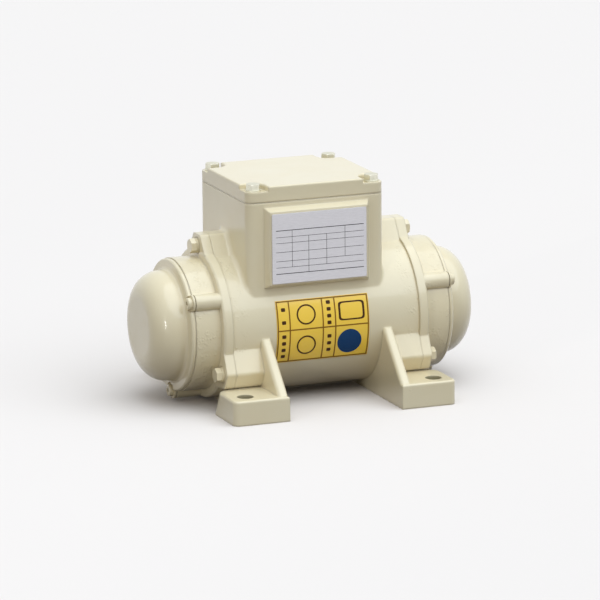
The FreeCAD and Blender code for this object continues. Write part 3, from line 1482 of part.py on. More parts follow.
def lead_wires():
    """Make the leads from the end turns up to the terminal block."""
    bottom = SHAFT_HEIGHT + END_TURN_OUTER_RADIUS + SEAT_GAP
    bend_z = BOX_FLOOR_Z + LEAD_WIRE_RISE
    bend = LEAD_WIRE_BEND
    short = bend * (1 - math.sqrt(0.5))
    y = BOX_CENTRE_Y
    target_y = terminal_block_start()[1]
    solids = []
    for k in range(LEAD_WIRE_COUNT):
        x = lead_hole_x() + (k - (LEAD_WIRE_COUNT - 1) / 2) * LEAD_WIRE_PITCH
        start = vec(x, y, bottom)
        rise = vec(x, y, bend_z - bend)
        corner = vec(x, y + short, bend_z - short)
        level = vec(x, y + bend, bend_z)
        path = Part.Wire([
            Part.LineSegment(start, rise).toShape(),
            Part.Arc(rise, corner, level).toShape(),
            Part.LineSegment(level, vec(x, target_y, bend_z)).toShape(),
        ])
        circle = Part.Wire([Part.makeCircle(LEAD_WIRE_RADIUS, start, Z_AXIS)])
        solids.append(path.makePipeShell([circle], True, True))
    return Part.makeCompound(solids)


def both_sides(name, make):
    """Give a right-hand piece and its mirrored left-hand twin."""
    right = make()
    return {name + "_right": right, name + "_left": mirrored_x(right)}


def all_nodes():
    nodes = {
        "motor_housing": motor_housing(),
        "terminal_box_lid": terminal_box_lid(),
        "lid_gasket": lid_gasket(),
        "lid_screws": lid_screws(),
        "nameplate": nameplate(),
        "barrel_label": barrel_label(),
        "stator_core": stator_core(),
        "stator_winding": stator_winding(),
        "rotor_shaft": rotor_shaft(),
        "rotor_core": rotor_core(),
        "rotor_cage": rotor_cage(),
        "weight_keys": weight_keys(),
        "retaining_rings": retaining_rings(),
        "cable_gland_body": cable_gland_body(),
        "cable_gland_seal": cable_gland_seal(),
        "cable_gland_nut": cable_gland_nut(),
        "cable_gland_locknut": cable_gland_locknut(),
        "run_capacitor": run_capacitor(),
        "capacitor_clip": capacitor_clip(),
        "terminal_block": terminal_block(),
        "terminal_screws": terminal_screws(),
        "earth_screw": earth_screw(),
        "lead_grommet": lead_grommet(),
        "lead_wires": lead_wires(),
    }
    pairs = {
        "bearing_bracket": bearing_bracket,
        "bracket_washers": bracket_washers,
        "bracket_spring_washers": bracket_spring_washers,
        "bracket_bolts": bracket_bolts,
        "weight_cover": weight_cover,
        "cover_seal": cover_seal,
        "cover_screws": cover_screws,
        "bearing_outer_ring": bearing_outer_ring,
        "bearing_inner_ring": bearing_inner_ring,
        "bearing_balls": bearing_balls,
        "ball_cage": ball_cage,
        "disc_spring": disc_spring,
        "shaft_seal": shaft_seal,
        "fixed_weight": fixed_weight,
        "moving_weight": moving_weight,
        "clamp_bolt": clamp_bolt,
    }
    for name, make in pairs.items():
        nodes.update(both_sides(name, make))
    return nodes


def main():
    os.makedirs("parts", exist_ok=True)
    for name, shape in all_nodes().items():
        volume = sum(solid.Volume for solid in shape.Solids)
        print(name, len(shape.Solids), round(volume), shape.isValid())
        shape.exportStep("parts/" + name + ".step")


main()
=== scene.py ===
import json
import math

import bmesh
import bpy
from mathutils import Matrix, Vector


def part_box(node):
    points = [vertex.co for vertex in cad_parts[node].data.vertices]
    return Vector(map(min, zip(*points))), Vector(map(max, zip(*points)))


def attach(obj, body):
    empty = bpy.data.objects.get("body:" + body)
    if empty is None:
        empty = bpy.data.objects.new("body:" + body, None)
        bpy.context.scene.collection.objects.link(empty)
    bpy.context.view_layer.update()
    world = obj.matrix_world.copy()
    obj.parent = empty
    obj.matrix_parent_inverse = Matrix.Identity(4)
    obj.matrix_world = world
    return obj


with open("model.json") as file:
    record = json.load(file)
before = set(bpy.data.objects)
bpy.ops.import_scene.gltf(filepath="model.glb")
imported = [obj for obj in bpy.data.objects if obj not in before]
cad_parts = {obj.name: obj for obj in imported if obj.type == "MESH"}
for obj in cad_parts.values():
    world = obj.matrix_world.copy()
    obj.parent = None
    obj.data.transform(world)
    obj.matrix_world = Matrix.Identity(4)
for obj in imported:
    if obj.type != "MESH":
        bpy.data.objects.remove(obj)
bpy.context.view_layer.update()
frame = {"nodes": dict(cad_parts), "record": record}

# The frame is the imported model's: X along the shaft, -Y towards the nameplate, Z up, the feet
# on Z = 0. Lengths are metres, apart from the print's, which are millimetres.
MM = 0.001

# Camera, fitted to the photograph's view
CAMERA_PLACE = Vector((-1.10862, -2.82617, 0.74974))
CAMERA_LOOK = Vector((0.35603, 0.90755, -0.2227))
CAMERA_UP = Vector((0.08872, 0.20441, 0.97486))
CAMERA_LENS = 300.49
SENSOR_WIDTH = 36.0

# Colours, as they are seen
ENAMEL = (0.888, 0.843, 0.722)
ENAMEL_WARM = (0.882, 0.830, 0.700)
# Painted shade: the darker tone that the enamel takes in corners and seams
ENAMEL_CORNER_SHADE = (0.620, 0.570, 0.460)
FOOT_HOLE_TONE = (0.640, 0.600, 0.480)
BACKDROP = 0.921
PLATE_METAL = (0.865, 0.860, 0.878)
PRINT_INK = (0.250, 0.250, 0.260)
STICKER_YELLOW = (1.000, 0.830, 0.250)
STICKER_LINE = (0.530, 0.370, 0.100)
STICKER_INK = (0.250, 0.140, 0.030)
STICKER_BLUE = (0.030, 0.215, 0.400)

# Light: a soft sky that is brighter and cooler overhead, a wide key lamp in front and above,
# and two narrow lamps for glints
SKY_LOW = (0.160, 0.140, 0.104)
SKY_HIGH = (0.890, 0.950, 0.985)
KEY_STRENGTH = 1.98
KEY_COLOUR = (0.915, 1.00, 1.085)
KEY_FROM = Vector((0.24, -0.38, 0.90))
KEY_ANGLE = 80.0
GLINT_PLACES = (Vector((-2.84, -2.02, 0.86)), Vector((-2.70, -2.20, 0.48)))
GLINT_SIZE = (0.07, 0.42)
GLINT_SPREAD = 12.0
GLINT_POWER = 0.036
FLOOR_LIGHT = (1.160, 1.246, 1.298)
FLOOR_BOUNCE = (0.138, 0.118, 0.092)
FLOOR_REACH = 30.0

# Enamel: the scales of its unevenness, the part of each pattern's range that shows, how far
# the painted shade in corners reaches, and its gloss
TONE_SCALE = 22.0
TONE_RANGE = (0.35, 0.65)
GLOSS_SCALE = 60.0
WAVES_SCALE = 70.0
PIMPLE_SCALE = 85.0
PIMPLE_RANGE = (0.0, 0.07)
PATCH_SCALE = 160.0
PATCH_RANGE = (0.46, 0.62)
PEEL_SCALE = 420.0
BEAD_SCALE = 620.0
BEAD_RANGE = (0.05, 0.60)
GRAIN_SCALE = 1500.0
CREVICE_REACH = 3 * MM
CREVICE_RANGE = (0.15, 0.75)
ENAMEL_GLOSS = (0.28, 0.38)
ENAMEL_COAT = 0.7
ENAMEL_COAT_ROUGHNESS = 0.07

# Other materials: the scales of their lines, strands and tones, how much darker the dark parts
# are, how deep the lines lie, and how far the roughness swings
NOISE_RANGE = (0.3, 0.7)
BRUSH_SCALE = 300.0
BRUSH_SHADE = 0.82
BRUSH_SWING = (0.8, 1.25)
SHEET_SCALE = 320.0
SHEET_SHADE = 0.7
SHEET_DEPTH = 0.08 * MM
STRAND_SCALE = 260.0
STRAND_BEND = 3.0
STRAND_BEND_SCALE = 2.0
STRAND_DEPTH = 0.35 * MM
PLASTIC_TONE_SCALE = 40.0
PLASTIC_SWING = (0.85, 1.15)
PRINT_TONE_SCALE = 700.0
PRINT_FADE = 0.03
PRINT_SHINE = 0.2

# Casting: its skin is rougher near both ends of the barrel
ROUGH_FROM = 50.0 * MM
ROUGH_TO = 56.0 * MM
ROUGH_RADIUS = 46.2 * MM
ROUGH_HEIGHT = 0.26 * MM

# Holes in the feet, darker inside
FOOT_HOLE_X = 62.0 * MM
FOOT_HOLE_Y = 66.0 * MM
FOOT_HOLE_RADIUS = 5.02 * MM

# Other places and edges
SHAFT_HEIGHT = 48.5 * MM
SMALL_EDGE = 0.3 * MM

# Print: how high the ink stands, and the longest step along the curved film
PRINT_HEIGHT = 0.04
FILM_STEP = 1.5

# Sticker on the barrel: its columns along X, its rows as degrees up from the shaft's height
STICKER_COLUMNS = (-33.0, -24.4, -2.6, 5.6, 28.0)
STICKER_ROWS = (-26.6, 0.5, 24.0)
STICKER_MARGIN = 0.35
STICKER_LINE_WIDTH = 0.85

# In its fields: small squares as column, row, how many and how far apart, two rings, a rounded
# frame and a disc. A shape's power makes it round at 2 and squarer above.
SQUARES = ((0, 1, 2, 8.0), (0, 0, 4, 4.4), (2, 1, 4, 4.2), (2, 0, 3, 4.6))
SQUARE_HALF = (1.35, 1.15)
SQUARE_POWER = 5
RING_RADIUS = 6.3
ROUND_POWER = 2
FRAME_HALF = (8.6, 5.9)
FRAME_POWER = 8
OUTLINE_HOLE = 0.84
DISC_SHIFT = (-1.4, -0.2)
DISC_RADIUS = 8.0

# Nameplate: shares of its width and height where the printed lines run, each column with the
# rows that it starts and ends at
PLATE_LINES_LEFT = 0.04
PLATE_LINES_RIGHT = 0.97
PLATE_ROWS = (0.24, 0.335, 0.42, 0.55, 0.68, 0.77, 0.86)
PLATE_COLUMNS = (
    (0.21, 0.24, 0.77), (0.385, 0.335, 0.86), (0.575, 0.335, 0.77), (0.77, 0.24, 0.68),
)
PLATE_LINE_WIDTH = 0.26
PLATE_RULE_WIDTH = 0.45


def linear(colour):
    """Turn a colour as it is seen into the renderer's linear values."""
    values = []
    for c in colour:
        values.append(c / 12.92 if c <= 0.04045 else ((c + 0.055) / 1.055) ** 2.4)
    return values[0], values[1], values[2], 1.0


# Materials


class Surface:
    """A material under construction, with short calls for its nodes."""

    def __init__(self, name, roughness=0.4, metallic=0.0):
        self.material = bpy.data.materials.new(name)
        self.material.use_nodes = True
        self.tree = self.material.node_tree
        self.shader = self.tree.nodes["Principled BSDF"]
        self.shader.inputs["Roughness"].default_value = roughness
        self.shader.inputs["Metallic"].default_value = metallic
        self.place = self.add("ShaderNodeTexCoord").outputs["Object"]

    def add(self, kind, **values):
        node = self.tree.nodes.new(kind)
        for name, value in values.items():
            setattr(node, name, value)
        return node

    def link(self, output, socket):
        self.tree.links.new(output, socket)

    def stretched(self, scale):
        """Return the place coordinate, stretched differently along X, Y and Z."""
        mapping = self.add("ShaderNodeMapping")
        mapping.inputs["Scale"].default_value = scale
        self.link(self.place, mapping.inputs["Vector"])
        return mapping.outputs["Vector"]

    def noise(self, scale, detail=2.0, roughness=0.5, vector=None):
        node = self.add("ShaderNodeTexNoise")
        node.inputs["Scale"].default_value = scale
        node.inputs["Detail"].default_value = detail
        node.inputs["Roughness"].default_value = roughness
        self.link(vector or self.place, node.inputs["Vector"])
        return node.outputs["Fac"]

    def cells(self, scale):
        node = self.add("ShaderNodeTexVoronoi")
        node.inputs["Scale"].default_value = scale
        self.link(self.place, node.inputs["Vector"])
        return node.outputs["Distance"]

    def span(self, value, low, high, new_low, new_high):
        node = self.add("ShaderNodeMapRange")
        for name, number in (
            ("From Min", low),
            ("From Max", high),
            ("To Min", new_low),
            ("To Max", new_high),
        ):
            node.inputs[name].default_value = number
        self.link(value, node.inputs["Value"])
        return node.outputs["Result"]

    def mix(self, factor, colour_a, colour_b):
        node = self.add("ShaderNodeMix", data_type="RGBA")
        self.link(factor, node.inputs["Factor"])
        for socket, colour in ((node.inputs[6], colour_a), (node.inputs[7], colour_b)):
            if isinstance(colour, tuple):
                socket.default_value = colour
            else:
                self.link(colour, socket)
        return node.outputs[2]

    def bump(self, height, distance, strength=1.0, normal=None):
        node = self.add("ShaderNodeBump")
        node.inputs["Distance"].default_value = distance
        node.inputs["Strength"].default_value = strength
        self.link(height, node.inputs["Height"])
        if normal is not None:
            self.link(normal, node.inputs["Normal"])
        return node.outputs["Normal"]

    def rounded(self, radius):
        """Return a normal that rounds off the edges."""
        node = self.add("ShaderNodeBevel", samples=6)
        node.inputs["Radius"].default_value = radius
        return node.outputs["Normal"]

    def product(self, *values):
        total = values[0]
        for value in values[1:]:
            node = self.add("ShaderNodeMath", operation="MULTIPLY")
            self.link(total, node.inputs[0])
            self.link(value, node.inputs[1])
            total = node.outputs[0]
        return total

    def towards_ends(self, start, end):
        """Return 0 up to the distance start from the middle of the shaft, and 1 from end on."""
        parts = self.add("ShaderNodeSeparateXYZ")
        self.link(self.place, parts.inputs[0])
        away = self.add("ShaderNodeMath", operation="ABSOLUTE")
        self.link(parts.outputs["X"], away.inputs[0])
        return self.span(away.outputs[0], start, end, 0.0, 1.0)

    def near(self, place, axes, centre, radius):
        """Return 1 where place is within radius of centre along the given axes, and else 0."""
        flat = self.add("ShaderNodeVectorMath", operation="MULTIPLY")
        self.link(place, flat.inputs[0])
        flat.inputs[1].default_value = axes
        away = self.add("ShaderNodeVectorMath", operation="DISTANCE")
        self.link(flat.outputs[0], away.inputs[0])
        away.inputs[1].default_value = centre
        return self.span(away.outputs["Value"], radius, 1.01 * radius, 1.0, 0.0)

    def near_shaft(self, radius):
        return self.near(self.place, (0.0, 1.0, 1.0), (0.0, 0.0, SHAFT_HEIGHT), radius)

    def near_foot_holes(self, radius):
        fold = self.add("ShaderNodeVectorMath", operation="ABSOLUTE")
        self.link(self.place, fold.inputs[0])
        centre = (FOOT_HOLE_X, FOOT_HOLE_Y, 0.0)
        return self.near(fold.outputs[0], (1.0, 1.0, 0.0), centre, radius)

    def crevices(self, distance):
        """Return 1 in the open and less in corners."""
        node = self.add("ShaderNodeAmbientOcclusion", samples=8)
        node.inputs["Distance"].default_value = distance
        return node.outputs["AO"]

    def finish(self, colour=None, roughness=None, normal=None, coat=0.0, coat_roughness=0.1):
        if isinstance(colour, tuple):
            self.shader.inputs["Base Color"].default_value = colour
        elif colour is not None:
            self.link(colour, self.shader.inputs["Base Color"])
        if roughness is not None:
            self.link(roughness, self.shader.inputs["Roughness"])
        if normal is not None:
            self.link(normal, self.shader.inputs["Normal"])
        self.shader.inputs["Coat Weight"].default_value = coat
        self.shader.inputs["Coat Roughness"].default_value = coat_roughness
        return self.material


def enamel(name, grain, peel, edge, waves=0.0, specks=0.0, corner_shade=0.25, seam_lift=0.0, dark_holes=False):
    """Glossy cream enamel.

    grain is the height of the cast skin under it, peel that of the paint's own ripple, waves
    that of a casting's slow unevenness and specks that of its pimples. edge is how far edges
    are rounded off, corner_shade how much painted shade darkens it in corners, seam_lift how
    much lighter it is painted to cancel the shade in a narrow seam, and dark_holes says that
    the foot holes are darker inside.
    """
    surface = Surface(name)
    tone = surface.span(surface.noise(TONE_SCALE, 3.0), *TONE_RANGE, 0.0, 1.0)
    # Painted light: both tones can be lifted towards white, which the seal uses to cancel the shade
    # in its narrow seams
    cool, warm = (tuple(c + seam_lift * (1.0 - c) for c in pair) for pair in (ENAMEL, ENAMEL_WARM))
    base = surface.mix(tone, linear(cool), linear(warm))
    # Painted shade: in corners and seams, found by ambient occlusion, the enamel is darkened
    if corner_shade:
        painted_shade = surface.span(surface.crevices(CREVICE_REACH), *CREVICE_RANGE, corner_shade, 0.0)
        base = surface.mix(painted_shade, base, linear(ENAMEL_CORNER_SHADE))
    if dark_holes:
        hole_inside = surface.near_foot_holes(FOOT_HOLE_RADIUS)
        base = surface.mix(hole_inside, base, linear(FOOT_HOLE_TONE))
    normal = surface.rounded(edge)
    if waves:
        normal = surface.bump(surface.noise(WAVES_SCALE, 1.0), waves, 1.0, normal)
    if specks:
        pimple = surface.span(surface.cells(PIMPLE_SCALE), *PIMPLE_RANGE, 1.0, 0.0)
        normal = surface.bump(pimple, specks, 1.0, normal)
        bead = surface.span(surface.cells(BEAD_SCALE), *BEAD_RANGE, 1.0, 0.0)
        patch = surface.span(surface.noise(PATCH_SCALE, 1.0), *PATCH_RANGE, 0.0, 1.0)
        ends = surface.towards_ends(ROUGH_FROM, ROUGH_TO)
        beads = surface.product(bead, patch, ends, surface.near_shaft(ROUGH_RADIUS))
        normal = surface.bump(beads, ROUGH_HEIGHT, 1.0, normal)
    normal = surface.bump(surface.noise(PEEL_SCALE, 1.5), peel, 1.0, normal)
    normal = surface.bump(surface.noise(GRAIN_SCALE, 3.0, 0.6), grain, 1.0, normal)
    gloss = surface.span(surface.noise(GLOSS_SCALE), *NOISE_RANGE, *ENAMEL_GLOSS)
    return surface.finish(base, gloss, normal, ENAMEL_COAT, ENAMEL_COAT_ROUGHNESS)


def brushed_metal(name, colour, roughness, direction, depth):
    """Bare metal with fine lines: direction stretches them, depth is how deep they are."""
    surface = Surface(name, roughness, 1.0)
    lines = surface.noise(BRUSH_SCALE, 4.0, 0.6, surface.stretched(direction))
    tone = surface.mix(lines, linear(colour), linear(tuple(c * BRUSH_SHADE for c in colour)))
    gloss = surface.span(lines, *NOISE_RANGE, *(roughness * swing for swing in BRUSH_SWING))
    normal = surface.bump(lines, depth, 0.6, surface.rounded(SMALL_EDGE))
    return surface.finish(tone, gloss, normal)


def laminated(name, colour):
    """Stacked sheets: fine lines across the shaft."""
    surface = Surface(name, 0.45, 0.9)
    wave = surface.add("ShaderNodeTexWave", wave_type="BANDS", bands_direction="X")
    wave.inputs["Scale"].default_value = SHEET_SCALE
    surface.link(surface.place, wave.inputs["Vector"])
    darker = linear(tuple(c * SHEET_SHADE for c in colour))
    tone = surface.mix(wave.outputs["Fac"], darker, linear(colour))
    return surface.finish(tone, None, surface.bump(wave.outputs["Fac"], SHEET_DEPTH))


def wound_copper(name, dark, bright):
    """Varnished wire: strands round the shaft."""
    surface = Surface(name, 0.32, 0.85)
    strands = surface.add("ShaderNodeTexWave", wave_type="RINGS", rings_direction="X")
    strands.inputs["Scale"].default_value = STRAND_SCALE
    strands.inputs["Distortion"].default_value = STRAND_BEND
    strands.inputs["Detail Scale"].default_value = STRAND_BEND_SCALE
    surface.link(surface.place, strands.inputs["Vector"])
    tone = surface.mix(strands.outputs["Fac"], linear(dark), linear(bright))
    normal = surface.bump(strands.outputs["Fac"], STRAND_DEPTH)
    return surface.finish(tone, None, normal, 0.5, 0.2)


def soft_plastic(name, colour, roughness, grain=0.02 * MM, scale=1200.0, coat=0.0, mottled=0.12):
    """Plastic, rubber or film: grain and scale are its skin's, mottled how uneven its tone is."""
    surface = Surface(name, roughness)
    speck = surface.noise(scale, 3.0, 0.6)
    darker = linear(tuple(c * (1.0 - mottled) for c in colour))
    tone = surface.mix(surface.noise(PLASTIC_TONE_SCALE), linear(colour), darker)
    swings = (min(1.0, roughness * swing) for swing in PLASTIC_SWING)
    gloss = surface.span(speck, *NOISE_RANGE, *swings)
    normal = surface.bump(speck, grain, 1.0, surface.rounded(SMALL_EDGE))
    return surface.finish(tone, gloss, normal, coat, 0.15)


def printed(name, colour):
    """Screen print: a thin film whose tone varies slightly."""
    surface = Surface(name, 0.45)
    surface.shader.inputs["Specular IOR Level"].default_value = PRINT_SHINE
    worn = linear(tuple(min(1.0, c + PRINT_FADE) for c in colour))
    tone = surface.mix(surface.noise(PRINT_TONE_SCALE), linear(colour), worn)
    return surface.finish(tone)


EVEN = (1.0, 1.0, 1.0)
MATERIALS = {
    "paint": enamel(
        "cast_enamel", 0.012 * MM, 0.035 * MM, 1.5 * MM, 0.16 * MM, 0.12 * MM, dark_holes=True
    ),
    "cover_paint": enamel("cover_enamel", 0.003 * MM, 0.022 * MM, 0.8 * MM),
    "screw_paint": enamel("screw_enamel", 0.008 * MM, 0.025 * MM, 0.35 * MM),
    "plate": brushed_metal("plate_metal", PLATE_METAL, 0.42, (1.0, 1.0, 30.0), 0.01 * MM),
    "sticker": soft_plastic(
        "sticker_film", STICKER_YELLOW, 0.40, 0.004 * MM, 700.0, coat=0.6, mottled=0.03
    ),
    # Painted light: the seal's enamel is lightened so that the shade in the narrow seams it fills
    # reads softer
    "gasket": enamel("painted_seal", 0.010 * MM, 0.030 * MM, SMALL_EDGE, corner_shade=0.0, seam_lift=0.45),
    "seal_rubber": soft_plastic("seal_rubber", (0.10, 0.10, 0.10), 0.75),
    "lamination": laminated("lamination_steel", (0.55, 0.55, 0.58)),
    "copper": wound_copper("wound_copper", (0.42, 0.16, 0.08), (0.80, 0.42, 0.22)),
    "shaft_steel": brushed_metal(
        "ground_steel", (0.70, 0.70, 0.72), 0.25, (30.0, 1.0, 1.0), 0.004 * MM
    ),
    "bearing_steel": brushed_metal("bearing_steel", (0.80, 0.80, 0.82), 0.14, EVEN, 0.002 * MM),
    "cage_plastic": soft_plastic("cage_polyamide", (0.84, 0.79, 0.62), 0.5),
    "cast_cage": brushed_metal("cast_cage", (0.78, 0.78, 0.80), 0.42, EVEN, 0.02 * MM),
    "weight_steel": brushed_metal(
        "weight_steel", (0.42, 0.42, 0.44), 0.45, (1.0, 3.0, 12.0), 0.02 * MM
    ),
    "zinc": brushed_metal("zinc_plate", (0.74, 0.74, 0.70), 0.30, EVEN, 0.004 * MM),
    "gland_plastic": soft_plastic("gland_polyamide", (0.17, 0.17, 0.18), 0.5),
    "block_plastic": soft_plastic("block_phenolic", (0.13, 0.12, 0.12), 0.42),
    "can": brushed_metal("can_aluminium", (0.80, 0.80, 0.82), 0.28, (12.0, 1.0, 1.0), 0.004 * MM),
    "brass": brushed_metal("terminal_brass", (0.80, 0.64, 0.32), 0.28, EVEN, 0.004 * MM),
    "wire": soft_plastic("wire_insulation", (0.72, 0.12, 0.10), 0.4),
}
WORN_SCREW = brushed_metal("worn_screw", (0.95, 0.94, 0.87), 0.50, EVEN, 0.030 * MM)
PLATE_PRINT = printed("plate_print", PRINT_INK)
STICKER_LINES = printed("sticker_lines", STICKER_LINE)
STICKER_MARKS = printed("sticker_marks", STICKER_INK)
STICKER_DISC = printed("sticker_disc", STICKER_BLUE)


def dress_nodes():
    """Give every node its slot's material, and the lid's screws one worn by the spanner."""
    slots = {entry["node"]: entry["material_slot"] for entry in frame["record"]["subparts"]}
    for name, node in frame["nodes"].items():
        node.data.materials.clear()
        worn = name == "lid_screws"
        node.data.materials.append(WORN_SCREW if worn else MATERIALS[slots[name]])


# Print on the sticker and the nameplate, as thin raised ink


def piece_from(mesh, name, material):
    """Make a piece that rides on the motor from a finished mesh."""
    bmesh.ops.recalc_face_normals(mesh, faces=mesh.faces)
    data = bpy.data.meshes.new(name)
    mesh.to_mesh(data)
    mesh.free()
    data.materials.append(material)
    piece = bpy.data.objects.new(name, data)
    bpy.context.scene.collection.objects.link(piece)
    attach(piece, "motor")


def raised(mesh, outline, place):
    """Add one patch of ink: outline holds rows of points, and place puts them on the surface."""
    layers = []
    for top in (False, True):
        layers.append([[mesh.verts.new(place(u, v, top)) for u, v in row] for row in outline])
    rows, columns = len(outline), len(outline[0])
    for layer in layers:
        for i in range(rows - 1):
            for j in range(columns - 1):
                mesh.faces.new((layer[i][j], layer[i][j + 1], layer[i + 1][j + 1], layer[i + 1][j]))
    rim = [(0, j) for j in range(columns)]
    rim += [(i, columns - 1) for i in range(1, rows)]
    rim += [(rows - 1, j) for j in range(columns - 2, -1, -1)]
    rim += [(i, 0) for i in range(rows - 2, 0, -1)]
    low, high = layers
    for (i, j), (k, m) in zip(rim, rim[1:] + rim[:1]):
        mesh.faces.new((low[i][j], low[k][m], high[k][m], high[i][j]))


def oblong(u_range, v_range, v_step):
    """Rows of points over a rectangle, with steps no longer than v_step along v."""
    steps = max(1, math.ceil((v_range[1] - v_range[0]) / v_step))
    rows = []
    for i in range(steps + 1):
        v = v_range[0] + (v_range[1] - v_range[0]) * i / steps
        rows.append([(u_range[0], v), (u_range[1], v)])
    return rows


def ring(mesh, centre, half, power, hole, place, segments=64, rings=4):
    """Add a ring of ink whose hole is a share of its size, or with no hole a disc."""
    loops = []
    for k in range(rings + 1):
        share = hole + (1.0 - hole) * k / rings
        loop = []
        for s in range(segments):
            angle = 2 * math.pi * s / segments
            c, d = math.cos(angle), math.sin(angle)
            reach = share / (abs(c) ** power + abs(d) ** power) ** (1.0 / power)
            loop.append((centre[0] + half[0] * reach * c, centre[1] + half[1] * reach * d))
        loops.append(loop)
    if hole == 0.0:
        loops[0] = [centre]
    layers = []
    for top in (False, True):
        layers.append([[mesh.verts.new(place(u, v, top)) for u, v in loop] for loop in loops])
    for layer in layers:
        for inner, outer in zip(layer, layer[1:]):
            for s in range(segments):
                t = (s + 1) % segments
                if len(inner) == 1:
                    mesh.faces.new((inner[0], outer[s], outer[t]))
                else:
                    mesh.faces.new((inner[s], outer[s], outer[t], inner[t]))
    edges = [-1] if hole == 0.0 else [0, -1]
    for edge in edges:
        low, high = layers[0][edge], layers[1][edge]
        for s in range(segments):
            t = (s + 1) % segments
            mesh.faces.new((low[s], low[t], high[t], high[s]))


def print_sticker():
    radius = -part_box("barrel_label")[0].y

    def place(x, rise, top):
        """Put a point on the sticker: x in mm, rise in mm along the curved film."""
        reach = radius + (PRINT_HEIGHT if top else -0.5 * PRINT_HEIGHT) * MM
        angle = rise * MM / radius
        return Vector((x * MM, -reach * math.cos(angle), SHAFT_HEIGHT + reach * math.sin(angle)))

    def climb(degrees):
        """Turn an angle round the barrel into mm along its film."""
        return math.radians(degrees) * radius / MM

    half = STICKER_LINE_WIDTH / 2
    edge = STICKER_MARGIN + half
    columns = [STICKER_COLUMNS[0] + edge, *STICKER_COLUMNS[1:-1], STICKER_COLUMNS[-1] - edge]
    rows = [climb(STICKER_ROWS[0]) + edge, climb(STICKER_ROWS[1]), climb(STICKER_ROWS[2]) - edge]
    lines = bmesh.new()
    for x in columns:
        span = (rows[0] - half, rows[-1] + half)
        raised(lines, oblong((x - half, x + half), span, FILM_STEP), place)
    for rise in rows:
        span = (rise - half, rise + half)
        for start, end in zip(columns, columns[1:]):
            raised(lines, oblong((start + half, end - half), span, FILM_STEP), place)
    piece_from(lines, "sticker_lines", STICKER_LINES)

    marks = bmesh.new()
    across = [(a + b) / 2 for a, b in zip(columns, columns[1:])]
    lower, upper = ((a + b) / 2 for a, b in zip(rows, rows[1:]))
    for column, row, count, apart in SQUARES:
        for k in range(count):
            spot = (across[column], (lower, upper)[row] + apart * (k - (count - 1) / 2))
            ring(marks, spot, SQUARE_HALF, SQUARE_POWER, 0.0, place, 24, 2)
    for rise in (upper, lower):
        spot, half = (across[1], rise), (RING_RADIUS, RING_RADIUS)
        ring(marks, spot, half, ROUND_POWER, OUTLINE_HOLE, place)
    ring(marks, (across[3], upper), FRAME_HALF, FRAME_POWER, OUTLINE_HOLE, place)
    piece_from(marks, "sticker_marks", STICKER_MARKS)

    disc = bmesh.new()
    spot = (across[3] + DISC_SHIFT[0], lower + DISC_SHIFT[1])
    ring(disc, spot, (DISC_RADIUS, DISC_RADIUS), ROUND_POWER, 0.0, place, 64, 8)
    piece_from(disc, "sticker_disc", STICKER_DISC)


def print_plate():
    low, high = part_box("nameplate")
    width, height = high.x - low.x, high.z - low.z

    def place(s, t, top):
        """Put a point on the plate: s and t are metres from its left and top edges."""
        reach = (PRINT_HEIGHT if top else -0.5 * PRINT_HEIGHT) * MM
        return Vector((low.x + s, low.y - reach, high.z - t))

    lines = bmesh.new()
    rows = []
    for share in PLATE_ROWS:
        thick = PLATE_RULE_WIDTH if share in (PLATE_ROWS[0], PLATE_ROWS[-1]) else PLATE_LINE_WIDTH
        rows.append((share * height, thick * MM / 2))
    start, end = PLATE_LINES_LEFT * width, PLATE_LINES_RIGHT * width
    half = PLATE_LINE_WIDTH * MM / 2
    for t, thick in rows:
        raised(lines, oblong((start, end), (t - thick, t + thick), height), place)
    for share, first, last in PLATE_COLUMNS:
        s = share * width
        crossed = [row for row in rows if first * height - half <= row[0] <= last * height + half]
        for (t, thick), (u, wide) in zip(crossed, crossed[1:]):
            span = (t + thick, u - wide)
            raised(lines, oblong((s - half, s + half), span, height), place)
    piece_from(lines, "plate_lines", PLATE_PRINT)


# Studio


def seen_directly(tree):
    """Return 1 for what the camera sees, directly, in metal or through glass, and else 0."""
    path = tree.nodes.new("ShaderNodeLightPath")
    total = path.outputs["Is Camera Ray"]
    for name in ("Is Glossy Ray", "Is Transmission Ray"):
        add = tree.nodes.new("ShaderNodeMath")
        add.operation = "MAXIMUM"
        tree.links.new(total, add.inputs[0])
        tree.links.new(path.outputs[name], add.inputs[1])
        total = add.outputs[0]
    return total


def make_floor():
    """Make a floor that looks pale, keeps the shadow and throws little light back up."""
    surface = Surface("floor", 1.0)
    surface.shader.inputs["Specular IOR Level"].default_value = 0.0
    seen = (*(BACKDROP / light for light in FLOOR_LIGHT), 1.0)
    tone = surface.mix(seen_directly(surface.tree), (*FLOOR_BOUNCE, 1.0), seen)
    mesh = bpy.data.meshes.new("floor")
    corners = [(-1, -1, 0), (1, -1, 0), (1, 1, 0), (-1, 1, 0)]
    places = [tuple(FLOOR_REACH * c for c in corner) for corner in corners]
    mesh.from_pydata(places, [], [(0, 1, 2, 3)])
    mesh.materials.append(surface.finish(tone))
    floor = bpy.data.objects.new("floor", mesh)
    bpy.context.scene.collection.objects.link(floor)


def aim(lamp, name, place, towards):
    """Add a lamp at a place that shines towards another."""
    light = bpy.data.objects.new(name, lamp)
    light.location = place
    light.rotation_mode = "QUATERNION"
    light.rotation_quaternion = (place - towards).to_track_quat("Z", "Y")
    light.visible_camera = False
    bpy.context.scene.collection.objects.link(light)


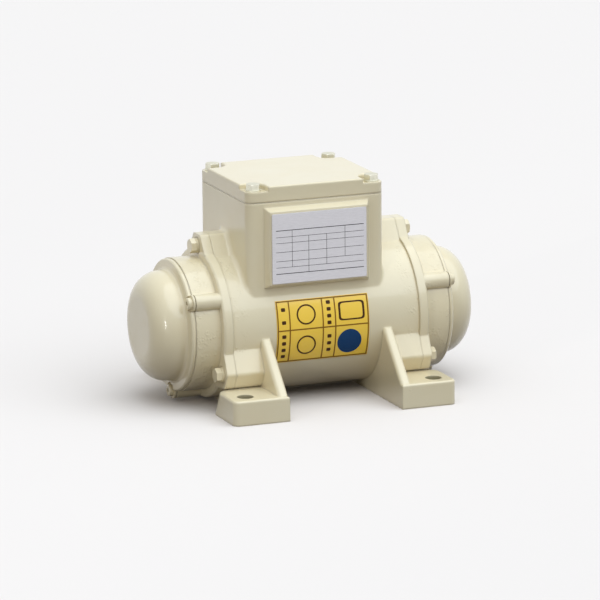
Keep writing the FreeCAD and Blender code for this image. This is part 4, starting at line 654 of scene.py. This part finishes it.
def make_light():
    key = bpy.data.lights.new("key", "SUN")
    key.energy = KEY_STRENGTH
    key.color = KEY_COLOUR
    key.angle = math.radians(KEY_ANGLE)
    aim(key, "key", KEY_FROM, Vector((0, 0, 0)))
    glint = bpy.data.lights.new("glint", "AREA")
    glint.energy = GLINT_POWER
    glint.shape = "RECTANGLE"
    glint.size, glint.size_y = GLINT_SIZE
    glint.spread = math.radians(GLINT_SPREAD)
    for place in GLINT_PLACES:
        aim(glint, "glint", place, Vector((0, 0, SHAFT_HEIGHT)))

    world = bpy.data.worlds.new("studio")
    world.use_nodes = True
    tree = world.node_tree
    background = tree.nodes["Background"]
    direction = tree.nodes.new("ShaderNodeTexCoord")
    parts = tree.nodes.new("ShaderNodeSeparateXYZ")
    tree.links.new(direction.outputs["Generated"], parts.inputs[0])
    climb = tree.nodes.new("ShaderNodeMix")
    climb.data_type = "RGBA"
    tree.links.new(parts.outputs["Z"], climb.inputs["Factor"])
    climb.inputs[6].default_value = (*SKY_LOW, 1.0)
    climb.inputs[7].default_value = (*SKY_HIGH, 1.0)
    choose = tree.nodes.new("ShaderNodeMix")
    choose.data_type = "RGBA"
    tree.links.new(seen_directly(tree), choose.inputs["Factor"])
    tree.links.new(climb.outputs[2], choose.inputs[6])
    choose.inputs[7].default_value = (BACKDROP, BACKDROP, BACKDROP, 1.0)
    tree.links.new(choose.outputs[2], background.inputs["Color"])
    bpy.context.scene.world = world


def make_camera():
    data = bpy.data.cameras.new("camera")
    data.lens = CAMERA_LENS
    data.sensor_width = SENSOR_WIDTH
    data.clip_end = 100.0
    camera = bpy.data.objects.new("camera", data)
    back = -CAMERA_LOOK.normalized()
    right = CAMERA_UP.cross(back).normalized()
    up = back.cross(right)
    turn = Matrix((right, up, back)).transposed().to_4x4()
    camera.matrix_world = Matrix.Translation(CAMERA_PLACE) @ turn
    bpy.context.scene.collection.objects.link(camera)
    bpy.context.scene.camera = camera


dress_nodes()
print_sticker()
print_plate()
make_floor()
make_light()
make_camera()
bpy.context.scene.view_settings.view_transform = "Standard"
